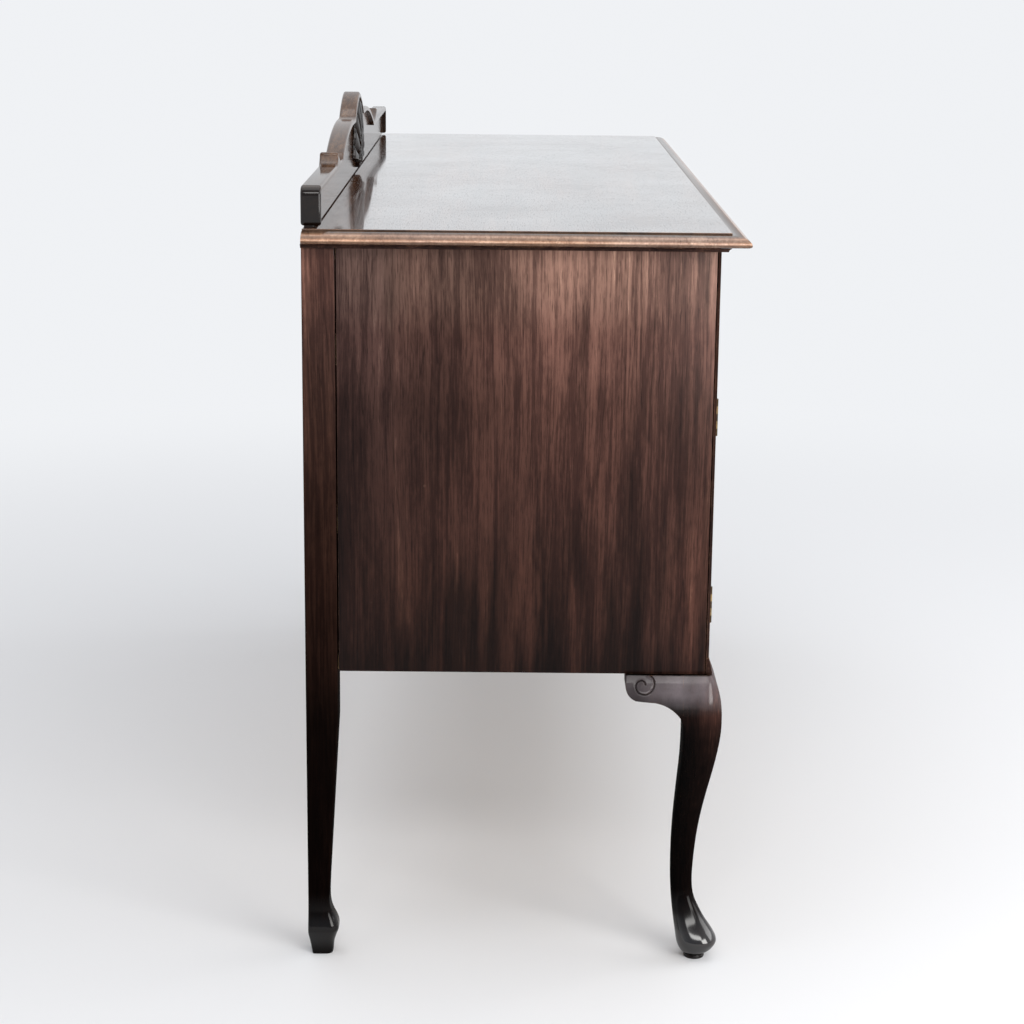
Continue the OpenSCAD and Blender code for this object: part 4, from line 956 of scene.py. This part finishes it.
def frontLegs():
    high = legTop / mm
    shank = high - frontLeg["footTop"] - frontLeg["kneeLow"]
    rows = list(frontLeg["foot"])
    rows += [(frontLeg["footTop"] + shank * r[0], *r[1:]) for r in frontLeg["shank"]]
    rows += [(high - r[0], *r[1:]) for r in frontLeg["knee"]]
    rings = []
    for z, out, inner, corner, rest in rows:
        x, y = -halfLength - out * mm, faceY - out * mm
        radii = [r * mm for r in (corner, rest, rest, rest)]
        rings.append(ringPoints(x, -halfLength + inner * mm, y, faceY + inner * mm, radii, z * mm))
    fitLegs(ringLoft("frontLeftLeg", rings), "front", legMahogany)


rearLeg = {
    # height, projection to the side, inner face across, front face in depth, corner radius
    "foot": [(0, -0.6, 27.4, 30.4, 8.4), (0.8, 0, 28, 31, 9), (12, 0.2, 29, 31.6, 9),
             (19, 2.2, 30.6, 33.4, 10), (26, 5, 32.2, 35.6, 11), (31.2, 7.2, 33.4, 37.7, 11.8),
             (33, 7.9, 34, 38.3, 12), (34, 8, 34.1, 38.5, 12), (35, 8, 34.1, 38.6, 12),
             (40, 7.4, 34, 38.2, 12), (43.5, 6.4, 33.6, 37, 12), (47, 5, 33, 35.6, 11),
             (50.5, 3.7, 32.5, 33.6, 10), (54, 2.6, 32, 31.6, 9), (60, 1.2, 31, 29, 7),
             (67, 0.3, 30.4, 27.6, 5.4), (74, 0, 30, 26.9, 4), (88, 0, 30, 27.2, 3)],
    "ankle": (101, 30, 27.9), "post": 40, "kneeDrop": 64, "chamfer": 5,
}


def rearLegs():
    r = rearLeg
    rows = [(*row, max(0, r["chamfer"] - row[0] / 6)) for row in r["foot"]]
    low, across, deep = r["ankle"]
    taper = legTop / mm - r["kneeDrop"] - low
    for t in (0, 0.25, 0.5, 0.75, 0.97):
        size = (across + (r["post"] - across) * t, deep + (r["post"] - deep) * t)
        rows.append((low + taper * t, 0, *size, 3 - 1.6 * t, 0))
    for z in (low + taper, low + taper + 8, 600, topLow.z / mm - 2, topLow.z / mm):
        rows.append((z, 0, r["post"], r["post"], 1.4, 0))
    rings = []
    for z, side, inner, front, corner, back in rows:
        radii = [k * mm for k in (corner, corner, min(corner, 3), min(corner, 3))]
        rings.append(ringPoints(-halfLength - side * mm, -halfLength + inner * mm, backY - front * mm,
                                backY - back * mm, radii, z * mm))
    fitLegs(ringLoft("rearLeftLeg", rings), "rear", postMahogany)


frontLegs()
rearLegs()
print("legs made")


# Knee blocks

kneeBlock = {
    "start": 34 * mm, "length": 69 * mm, "height": 33 * mm, "drop": 53 * mm, "thick": 24 * mm,
    "profile": [(0, 4.5), (4, 6.5), (9, 9), (15, 11.7), (21, 14), (27, 15.7), (33, 17), (39, 17.9),
                (46, 18.4), (53, 18.7), (59.5, 18.8)],
    # incised curl: distance behind the leg and drop below the carcase
    "curl": [(43, -3), (41, 0), (36.6, 2.4), (33.8, 6.6), (33.4, 12.2), (36.2, 18), (41.4, 21.9),
             (47.6, 22.6), (53, 20.5), (56, 16.2), (56.1, 11.6), (53.4, 8), (49.4, 6.6), (45.9, 8),
             (44.5, 11.4), (44.8, 13)],
    "groove": 0.8 * mm, "deep": 1.6 * mm, "lap": 3 * mm, "curlFrom": 28 * mm, "curlNear": 4 * mm,
    "burr": 0.2 * mm, "burrAt": 1.9 * mm, "round": 2.4 * mm, "roundDrop": 1.8 * mm,
}


def curlLine():
    # smooth line through the curl's points
    points = [Vector((kneeBlock["start"] + u * mm, -v * mm)) for u, v in kneeBlock["curl"]]
    line = []
    for a, b, c, d in zip(points, points[1:], points[2:], points[3:]):
        for i in range(12):
            t = i / 12
            cubic = (3 * b - a - 3 * c + d) * t ** 3
            line.append(0.5 * (2 * b + (c - a) * t + (2 * a - 5 * b + 4 * c - d) * t * t + cubic))
    return line


def kneeBlocks():
    k = kneeBlock
    start, length, height, drop, lap = k["start"], k["length"], k["height"], k["drop"], k["lap"]
    cove = (start + length - 36 * mm, -height)
    heel = (start + length - 13 * mm, 2 * mm - height)
    lower = [(start - lap, -drop)] + bow((start, -drop), cove, 4 * mm, 34) + bow(cove, heel, -0.2 * mm, 14)
    lower += bow(heel, (start + length, -height / 3), -4.2 * mm, 26) + [(start + length, -height / 3)]
    lower = [Vector(p) for p in lower]
    reach = [0]
    for a, b in zip(lower, lower[1:]):
        reach.append(reach[-1] + (b - a).length)

    def lowerAt(s):
        far = s * reach[-1]
        for i in range(1, len(lower)):
            if far <= reach[i]:
                return lower[i - 1].lerp(lower[i], (far - reach[i - 1]) / (reach[i] - reach[i - 1]))
        return lower[-1]

    line = curlLine()
    tail = lower[-1]
    topEnd = Vector((start + length, 0))

    def placed(s, t):
        # t runs from the top edge down; opposite edges are blended into one sheet
        top = Vector((start - lap + (length + lap) * s, 0))
        bottom = lowerAt(s)
        left = Vector((start - lap, -drop * t))
        right = topEnd.lerp(tail, t)
        flat = top * (1 - t) + bottom * t + left * (1 - s) + right * s
        flat -= (Vector((start - lap, 0)) * (1 - s) + topEnd * s) * (1 - t)
        flat -= (Vector((start - lap, -drop)) * (1 - s) + tail * s) * t
        out = blendOf([(a * mm, b * mm) for a, b in k["profile"]], -flat.y)[0]
        near = min((flat - p).length for p in line) if flat.x > start + k["curlFrom"] else 1
        if near < k["curlNear"]:
            out -= k["deep"] * math.exp(-(near / k["groove"]) ** 2)
            out += k["burr"] * math.exp(-((near - k["burrAt"]) / k["groove"]) ** 2)
        brink = min(t and (1 - t) * drop, (1 - s) * length)
        if brink < k["round"]:
            out -= k["roundDrop"] * (1 - math.sqrt(max(0, 1 - (1 - brink / k["round"]) ** 2)))
        return Vector((-halfLength - out, faceY + flat.x, legTop + flat.y))

    block = reliefGrid("kneeBlock", 140, 90, placed,
                       lambda co: Vector((-halfLength + k["thick"], co.y, co.z)))
    front = copyOf(block, "kneeBlockFront")
    for v in front.data.vertices:
        dx, dy = v.co.x + halfLength, v.co.y - faceY
        v.co.x, v.co.y = -halfLength + dy, faceY + dx
    front.data.flip_normals()
    pieces = [block, front, copyOf(block, "kneeBlockRight", flipX=True),
              copyOf(front, "kneeBlockFrontRight", flipX=True)]
    whole = joined("kneeBlocks", pieces)
    smooth(whole, 45)
    fitted(whole, "carcase", "leg_mahogany", legMahogany, "knee_blocks")


kneeBlocks()
print("knee blocks made")


# Ends and front frame

def lipOnly(c):
    # the outer arris of the lip is rounded into a bead, the rest only eased
    return 1 if abs(c.x) > halfLength - 1 * mm and c.y < faceY + 5 * mm else 0.25


eased("left_end_panel", 0.7 * mm, endMahogany, "mahogany_veneer")
eased("right_end_panel", 0.7 * mm, endMahogany, "mahogany_veneer")
eased("corner_stiles", 1.5 * mm, stileMahogany, "dark_mahogany", lipOnly, 4)
eased("division_stiles", 0.5 * mm, stileMahogany, "dark_mahogany")
for node in ("top_rail", "drawer_rails", "bottom_rail"):
    eased(node, 0.5 * mm, railMahogany, "dark_mahogany")
eased("base_moulding", 0.4 * mm, railMahogany, "dark_mahogany")
print("frame made")


# Drawers

drawerNames = ["left_drawer", "middle_drawer", "right_drawer", "upper_drawer", "lower_drawer"]
bead = {"width": 3 * mm, "round": 1.35 * mm, "behind": 8 * mm}
boxFloor = (5 * mm, 14 * mm)    # the faces of the drawer's bottom lie within these heights


def onBead(c):
    return 1 if c.y < faceY - 1 * mm else 0.25


def drawers():
    for body in drawerNames:
        front = easedCopy(body + "_front", camel(body) + "Front", bead["round"], onBead, 4)
        low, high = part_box(body + "_front")
        finishes(front, frontMahogany, railMahogany)
        for face in front.data.polygons:
            c = face.center
            inset = min(c.x - low.x, high.x - c.x, c.z - low.z, high.z - c.z)
            if inset < bead["width"] + 0.05 * mm and c.y < faceY + bead["behind"] + 0.05 * mm:
                face.material_index = 1
        fitted(front, body, "mahogany_veneer", None, body + "_front")
        box = easedCopy(body + "_box", camel(body) + "Box", 0.6 * mm)
        finishes(box, oakAlongY, plyAlongX)
        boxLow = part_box(body + "_box")[0].z
        for face in box.data.polygons:
            if abs(face.normal.z) > 0.9 and boxFloor[0] < face.center.z - boxLow < boxFloor[1]:
                face.material_index = 1
        fitted(box, body, "oak", None, body + "_box")


drawers()
print("drawers made")


# Doors

door = {"frame": 52 * mm, "moulding": 12 * mm, "rise": 7 * mm, "panel": 11 * mm, "arris": 0.9 * mm,
        "panelEdge": 8.2 * mm, "lap": 0.1 * mm}


def frameMoulding(name, xs, zs, profile, material):
    # mitred moulding round an opening; profile gives inset from the opening and depth behind the face
    centre = (sum(xs) / 2, faceY, sum(zs) / 2)
    bpy.ops.mesh.primitive_plane_add(size=1, location=centre, rotation=(math.pi / 2, 0, 0))
    piece = bpy.context.object
    piece.name = name
    width, height = xs[1] - xs[0], zs[1] - zs[0]
    piece.scale = (width, height, 1)
    settle(piece)
    editing(piece)
    inset, depth = profile[0]
    bpy.ops.transform.translate(value=(0, depth, 0))
    bpy.ops.transform.resize(value=(1 - 2 * inset / width, 1, 1 - 2 * inset / height))
    bpy.ops.mesh.delete(type="ONLY_FACE")
    bpy.ops.mesh.select_mode(type="EDGE")
    selectAll()
    for nextInset, nextDepth in profile[1:]:
        extrude((0, nextDepth - depth, 0))
        wider, higher = ((size - 2 * nextInset) / (size - 2 * inset) for size in (width, height))
        bpy.ops.transform.resize(value=(wider, 1, higher), center_override=centre)
        inset, depth = nextInset, nextDepth
    choose(piece, "edges", lambda edge: len(edge.link_faces) == 1)
    bpy.ops.mesh.bridge_edge_loops()
    closeUp()
    finishes(piece, material)
    smooth(piece, 35)
    return piece


def doorProfile():
    # from the panel up over the raised edge, down the hollow and back to the panel
    d = door
    panel, top, lap = d["panel"], d["panel"] - d["rise"], d["lap"]
    turns = [math.radians(9 * i) for i in range(1, 11)]
    start, under = 2.8 * mm, top + 0.7 * mm
    return ([(lap, panel), (lap, top + 0.6 * mm), (0.7 * mm, top), (2.6 * mm, top), (start, under)]
            + [(start + 6.4 * mm * math.sin(a), under + 4.6 * mm * (1 - math.cos(a))) for a in turns]
            + [(9.9 * mm, panel - 1.6 * mm), (d["moulding"] - 0.4 * mm, panel - 1.4 * mm),
               (d["moulding"], panel - 0.9 * mm), (d["moulding"], panel)])


def doors():
    edge, lap, panelFace = door["panelEdge"], door["lap"], faceY + door["panel"]
    for node in ("left_door", "right_door"):
        low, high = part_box(node)
        xs = (low.x + door["frame"], high.x - door["frame"])
        zs = (low.z + door["frame"], high.z - door["frame"])
        leaf = easedCopy(node, camel(node), door["arris"], lambda c: 1 if c.y < faceY + 0.5 * mm else 0.2)
        finishes(leaf, stileMahogany, railMahogany, doorMahogany)
        cutAway(leaf, lambda v: (xs[0] < v.co.x < xs[1] and zs[0] < v.co.z < zs[1]
                                 and faceY + 3.5 * mm < v.co.y < panelFace + 0.05 * mm))
        for face in leaf.data.polygons:
            c = face.center
            if xs[0] - edge < c.x < xs[1] + edge:
                onPanel = zs[0] - edge < c.z < zs[1] + edge and c.y > panelFace
                onRail = xs[0] - lap < c.x < xs[1] + lap
                face.material_index = 2 if onPanel else int(onRail)
        rim = frameMoulding(camel(node) + "Moulding", xs, zs, doorProfile(), railMahogany)
        fitted(joined(camel(node), [leaf, rim]), node, "mahogany_veneer", None, node)


doors()
print("doors made")


# Handles

handle = {"half": 32 * mm, "plate": 1.5 * mm, "standoff": 13 * mm, "eye": 4.9 * mm}
bail = {"stub": 6.3 * mm, "corner": 6 * mm, "bend": 11 * mm, "drop": 28 * mm, "collar": 2.4 * mm}
nut = {"radius": 6 * mm, "from": 20 * mm, "thick": 3.5 * mm, "arris": 0.35 * mm}


def plateHalf():
    end, neck, middle = 52, (30, 11), 13
    points = bow((0, 17), (middle, 20), -2.1, 8) + bow((middle, 20), neck, 3, 10)
    points += bow(neck, (end - 2, 12), -3, 10) + bow((end - 2, 12), (end, -9), 3, 10)
    points += bow((end, -9), (neck[0], -neck[1]), -2.4, 10) + bow((neck[0], -neck[1]), (10.4, -19.2), 2.4, 10)
    points += bow((10.4, -19.2), (2.4, -21.7), -1.0, 6) + arc((0, -21.3), 2.6, 2.7, -12, -90, 6)
    return [(x * mm, y * mm) for x, y in points]


def turned(name, profile, steps=32):
    # piece spun about the Y axis from (radius, distance in front) pairs, back to front
    bpy.ops.mesh.primitive_plane_add(size=0.001)
    piece = bpy.context.object
    piece.name = name
    editing(piece)
    bpy.ops.mesh.merge(type="CENTER")
    selectAll()
    bpy.ops.transform.translate(value=(profile[0][0], -profile[0][1], 0))
    for (r, out), (nextR, nextOut) in zip(profile, profile[1:]):
        extrude((nextR - r, out - nextOut, 0))
    selectAll()
    bpy.ops.mesh.spin(steps=steps, angle=2 * math.pi, center=(0, 0, 0), axis=(0, 1, 0))
    closeUp(0.01 * mm)
    smooth(piece, 40)
    return piece


def handlePlate():
    half = plateHalf()
    plate = cutBoard("handlePlate", half + flipped(half[1:-1]), handle["plate"], 0.45 * mm)
    editing(plate)
    choose(plate, "faces", lambda f: f.normal.z > 0.99 and middleOf(f).z > handle["plate"] / 2 - 0.01 * mm)
    bpy.ops.mesh.dissolve_faces()
    bpy.ops.mesh.inset(thickness=0.9 * mm)
    bpy.ops.mesh.inset(thickness=0.3 * mm)
    bpy.ops.transform.translate(value=(0, 0, -0.4 * mm))
    bpy.ops.object.mode_set(mode="OBJECT")
    plate.location = (0, -handle["plate"] / 2, 0)
    settle(plate, (90, 0, 0))
    smooth(plate, 30)
    return plate


def handlePost():
    # turned rose, neck and eye; the bolt reaches through the wood to a nut
    eye, standoff = handle["eye"] / mm, handle["standoff"] / mm
    profile = [(0, -26), (2.1, -26), (2.5, -25.4), (2.5, 1.6), (6, 1.6), (6, 2.3), (5.6, 2.7), (4.9, 2.8),
               (4.7, 3.2), (4.4, 3.7), (3.7, 4.1), (3.3, 4.5), (3.2, 5.2)]
    profile += arc((0, standoff), eye, eye, -49, 90, 14)
    profile[-1] = (0, standoff + eye)
    return turned("handlePost", [(r * mm, out * mm) for r, out in profile], 28)


def hexNut():
    bpy.ops.mesh.primitive_circle_add(vertices=6, radius=nut["radius"], location=(0, nut["from"], 0),
                                      rotation=(-math.pi / 2, 0, 0), fill_type="NGON")
    piece = bpy.context.object
    settle(piece)
    editing(piece)
    extrude((0, nut["thick"], 0))
    closeUp()
    useModifier(piece, "BEVEL", width=nut["arris"], segments=2)
    smooth(piece, 40)
    return piece


def rodAlong(name, stations):
    # round rod through (point, radius) stations
    line = bpy.data.curves.new(name, "CURVE")
    line.dimensions, line.bevel_depth, line.bevel_resolution = "3D", 1.0, 4
    line.use_fill_caps = True
    points, radii = zip(*stations)
    rod = curveMesh(name, line, points, radii)
    smooth(rod, 50)
    return rod


def bailRod():
    # right half from the post outwards and down to the grip, then its mirror image; (x, z, radius) rows
    b = bail
    half, stub = handle["half"] + b["stub"] + b["corner"], handle["half"] - b["stub"]
    right = [(stub, 0, 2.0), (stub + 0.2 * mm, 0, 2.4), (stub + 0.8 * mm, 0, 2.4), (stub + 1.0 * mm, 0, 2.0),
             (half - b["corner"], 0, 2.0)]
    corner = arc((half - b["corner"], -b["corner"]), b["corner"], b["corner"], 90, 0, 8)
    right += [(x, z, 2.0 + 0.1 * i / 8) for i, (x, z) in enumerate(corner)][1:]
    low = -b["drop"] + b["bend"]
    collar = [(6.0, 2.1), (4.8, 2.2), (4.4, 2.7), (3.6, 2.7), (3.2, 2.2), (0, 2.1)]
    right += [(half, low + up * mm, r) for up, r in collar]
    reach = half - b["bend"]
    right += [(x, z, 2.1) for x, z in arc((reach, low), b["bend"], b["bend"], 0, -90, 10)[1:]]
    right += [(reach * (1 - i / 12), -b["drop"], 2.1 + 0.95 * (1 - (1 - i / 12) ** 2)) for i in range(1, 12)]
    right = [(x, z, r) for x, z, r in right if x > 3 * mm or z > -20 * mm]
    right += [(x * mm, -b["drop"], r) for x, r in ((2.6, 3.05), (2.2, 3.6), (1.2, 3.9))]
    rows = right + [(0, -b["drop"], 3.95)] + [(-x, z, r) for x, z, r in reversed(right)]
    return rodAlong("bailRod", [((x, 0, z), r * mm) for x, z, r in rows])


def handles():
    post = joined("handlePost", [handlePost(), hexNut()])
    posts = [copyOf(post, "handlePostSide", (side * handle["half"], 0, 0)) for side in (-1, 1)]
    fixed = joined("handleFixed", [handlePlate(), *posts])
    swing = bailRod()
    for body in drawerNames:
        fixedParts = []
        for node in [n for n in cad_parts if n.startswith(body + "_bail")]:
            low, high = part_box(node)
            x, axis = (low.x + high.x) / 2, high.z - bail["collar"]
            fixedParts.append(copyOf(fixed, node + "Fixed", (x, faceY, axis)))
            name = node.replace("_bail", "Bail").replace("_", "")
            moved = copyOf(swing, name, (x, faceY - handle["standoff"], axis))
            fitted(moved, node, "brass", brass, node)
        plates = joined(body.replace("_", "") + "Plates", fixedParts)
        fitted(plates, body, "brass", brass, body + "_plates")
    for pattern in (post, fixed, swing):
        bpy.data.objects.remove(pattern)


handles()
print("handles made")


# Door fittings

pull = {"radius": 15, "standoff": 11, "eye": 2.9, "rod": 1.25, "ring": 5, "ringRod": 1.2, "pear": 7.5,
        "length": 42, "leavesFrom": 30}


def looped(name, radius, rod, turn, place):
    # cast ring, a little heavier below
    bpy.ops.mesh.primitive_torus_add(major_radius=radius * mm, minor_radius=rod * mm, major_segments=36,
                                     minor_segments=12, location=place, rotation=turn)
    ring = bpy.context.object
    ring.name = name
    settle(ring)
    editing(ring)
    choose(ring, "verts", lambda v: v.co.z < place[2] - radius * 0.55 * mm)
    bpy.ops.transform.resize(value=(1, 1.1, 1), center_override=place)
    bpy.ops.object.mode_set(mode="OBJECT")
    smooth(ring, 60)
    return ring


def pullFixed():
    # turned rose, eye bolt and nut
    p = pull
    rose = [(0, -0.2), (p["radius"], -0.2), (p["radius"], 0.5), (14.6, 0.9), (13.9, 1.15), (13.2, 0.9),
            (12.8, 0.6), (12.2, 0.55), (11.7, 0.8), (11.2, 1.3), (10.4, 1.5), (8.6, 1.5), (7.6, 1.3),
            (7.2, 1.0), (6.6, 1.0), (0, 1.0)]
    eyeLow = p["standoff"] - p["eye"]
    bolt = [(0, -26), (2.1, -26), (2.5, -25.4), (2.5, 0.9), (5.5, 0.9), (5.5, 1.8), (5.1, 2.3), (4.4, 2.5),
            (4.2, 3.0), (3.6, 3.5), (3.0, 3.9), (2.4, 4.6), (2.1, 5.6), (2.3, 6.4), (2.6, 6.8), (2.3, 7.2),
            (1.6, eyeLow - 0.5), (0, eyeLow - 0.4)]
    eye = looped("pullEye", p["eye"], p["rod"], (0, math.pi / 2, 0), (0, -p["standoff"] * mm, 0))
    pieces = [turned("pullRose", [(r * mm, out * mm) for r, out in rose], 48),
              turned("pullBolt", [(r * mm, out * mm) for r, out in bolt], 24), eye, hexNut()]
    return joined("pullFixed", pieces)


def pullDrop():
    # pear-shaped drop with a collar, hung on its ring
    length, wide = pull["length"], pull["pear"]
    centre = length - wide
    profile = [(0, 9.3), (1.5, 9.4), (1.9, 9.8), (1.9, 10.5), (1.3, 10.9), (1.3, 11.4), (2.6, 11.9),
               (2.9, 12.5), (2.6, 13.1), (1.7, 13.6), (1.6, 14.2), (1.9, 15.4)]
    profile += bow((2.0, 15.8), (wide - 0.1, centre - 3), -1.5, 12)
    profile += [(wide, centre - 2), (wide, centre - 1.2), (wide - 0.4, centre - 0.8)]
    profile += [(wide - 0.1, centre - 0.4)]
    profile += [(r, 2 * centre - z) for r, z in arc((0, centre), wide - 0.1, wide - 0.5, 2, -76, 9)]
    profile += [(1.7, length - 0.9), (1.5, length - 0.3), (0.8, length), (0, length)]
    pear = turned("pullPear", [(r * mm, z * mm) for r, z in profile], 32)
    settle(pear, (90, 0, 0))
    ring = looped("pullRing", pull["ring"], pull["ringRod"], (math.pi / 2, 0, 0), (0, 0, -pull["ring"] * mm))
    return joined("pullDrop", [pear, ring])


def doorFittings():
    fixed, swing = pullFixed(), pullDrop()
    for side in ("left", "right"):
        node, body = side + "_door_fittings", side + "_door"
        low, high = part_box(side + "_drop")
        place = ((low.x + high.x) / 2, faceY, high.z - pull["ringRod"] * mm)
        leaves = easedCopy(node, side + "Leaves", 0.3 * mm, least=1.5 * mm)
        cutAway(leaves, lambda v: abs(v.co.x - place[0]) < pull["leavesFrom"] * mm)
        pieces = [leaves, copyOf(fixed, side + "Pull", place)]
        fitted(joined(side + "DoorFittings", pieces), body, "brass", brass, node)
        hung = copyOf(swing, side + "Drop", (place[0], faceY - pull["standoff"] * mm, place[2]))
        fitted(hung, side + "_drop", "brass", brass, side + "_drop")
    for pattern in (fixed, swing):
        bpy.data.objects.remove(pattern)


doorFittings()
print("door fittings made")


# What stays as it is in the model

def dress(material, *names):
    for name in names:
        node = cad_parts[name]
        if not node.material_slots:
            node.data.materials.append(material)
        for slot in node.material_slots:
            slot.material = material


dress(oakAlongY, "partitions", "drawer_runners", "kickers", "shelf_bearers")
dress(oakAlongX, "bottom_board", "back_rails", "door_stops")
dress(plyAlongX, "dust_boards", "shelves", "back_panel")
dress(steel, "gallery_straps", "back_screws")
dress(agedBrass, "fixed_hinge_leaves", "hinge_pins")
print("inside dressed")


# Floor, light and camera

def seenOf(tree, path):
    # what the camera sees straight on, in metal or through glass
    return sums(tree, "MAXIMUM", sums(tree, "MAXIMUM", path["Is Camera Ray"], path["Is Glossy Ray"]),
                path["Is Transmission Ray"])


floor = {"tone": (0.80, 0.80, 0.81), "far": (0.87, 0.885, 0.91), "near": 0.7, "fade": 3.0}
room = {"dim": (0.42, 0.44, 0.48), "pale": (0.94, 0.97, 1.0), "light": (0.44, 0.455, 0.48)}


def softRange(tree, value, low, high):
    inputs = {"Value": value, "From Min": low, "From Max": high}
    return put(tree, "ShaderNodeMapRange", inputs, interpolation_type="SMOOTHSTEP").outputs[0]


def groundAndAir():
    # pale floor that turns into the pale backdrop far from the object; near it, it keeps the shadow
    bpy.ops.mesh.primitive_plane_add(size=200, location=(0, 0, 0))
    ground = bpy.context.object
    ground.name = "floor"
    paint, tree, shader, here = newMaterial("paleFloor")
    wire(tree, shader, {"Base Color": (*floor["tone"], 1), "Roughness": 0.8, "Specular IOR Level": 0.15})
    glow = put(tree, "ShaderNodeEmission", {"Color": (*floor["far"], 1), "Strength": 1.0})
    far = softRange(tree, vectors(tree, "LENGTH", {0: here}, "Value"), floor["near"], floor["fade"])
    share = times(tree, far, seenOf(tree, put(tree, "ShaderNodeLightPath").outputs))
    blend = put(tree, "ShaderNodeMixShader", {0: share, 1: shader.outputs[0], 2: glow.outputs[0]})
    wire(tree, tree.nodes["Material Output"], {"Surface": blend.outputs[0]})
    finishes(ground, paint)
    world = bpy.data.worlds.new("studio")
    bpy.context.scene.world = world
    world.use_nodes = True
    tree = world.node_tree
    path = put(tree, "ShaderNodeLightPath").outputs
    # reflections see the pale backdrop dim towards the darker end of the room
    axis = axesOf(tree, put(tree, "ShaderNodeTexCoord").outputs["Generated"])
    mirrored = mixed(tree, softRange(tree, axis["X"], -0.9, 0.1), (*room["dim"], 1), (*room["pale"], 1))
    seen = mixed(tree, path["Is Glossy Ray"], (*floor["far"], 1), mirrored)
    colour = mixed(tree, seenOf(tree, path), (*room["light"], 1), seen)
    wire(tree, tree.nodes["Background"], {"Color": colour, "Strength": 1.0})


def lamp(name, place, aim, size, power, tint=(1, 1, 1)):
    light = bpy.data.lights.new(name, "AREA")
    light.shape, light.size, light.size_y, light.energy, light.color = "RECTANGLE", *size, power, tint
    thing = newObject(name, light)
    thing.location = place
    thing.rotation_euler = (Vector(aim) - Vector(place)).to_track_quat("-Z", "Y").to_euler()
    thing.visible_camera = False


view = {"place": (-3.4558, 0.02195, 1.2445), "down": 13.6508, "turn": 0.2021, "tilt": -0.6052,
        "lens": 80.64, "sensor": 36}


def addCamera():
    down, turn, tilt = (math.radians(view[k]) for k in ("down", "turn", "tilt"))
    ahead = Vector((math.cos(down) * math.cos(turn), -math.cos(down) * math.sin(turn), -math.sin(down)))
    right = Vector((-math.sin(turn), -math.cos(turn), 0))
    up = right.cross(ahead)
    across = right * math.cos(tilt) - up * math.sin(tilt)
    upward = right * math.sin(tilt) + up * math.cos(tilt)
    data = bpy.data.cameras.new("camera")
    data.lens, data.sensor_width = view["lens"], view["sensor"]
    camera = newObject("camera", data)
    pose = camera.matrix_world.copy()
    for i in range(3):
        pose[i][0], pose[i][1], pose[i][2] = across[i], upward[i], -ahead[i]
        pose[i][3] = view["place"][i]
    camera.matrix_world = pose
    bpy.context.scene.camera = camera


groundAndAir()
lamp("window", (-2.75, -1.95, 1.15), (-0.74, -0.1, 0.45), (1.5, 1.5), 58, (1.0, 0.985, 0.96))
lamp("strip", (-4.4, -0.5, 3.3), (-0.74, 0, 0.8), (3.2, 0.9), 62, (1.0, 0.99, 0.97))
lamp("front fill", (0.5, -4.2, 2.3), (0, 0, 0.5), (3.2, 2.0), 60)
lamp("ceiling", (0, 0, 4.5), (0, 0, 0), (5.0, 5.0), 100)
addCamera()
print("studio made")

bpy.context.scene.view_settings.view_transform = "Standard"
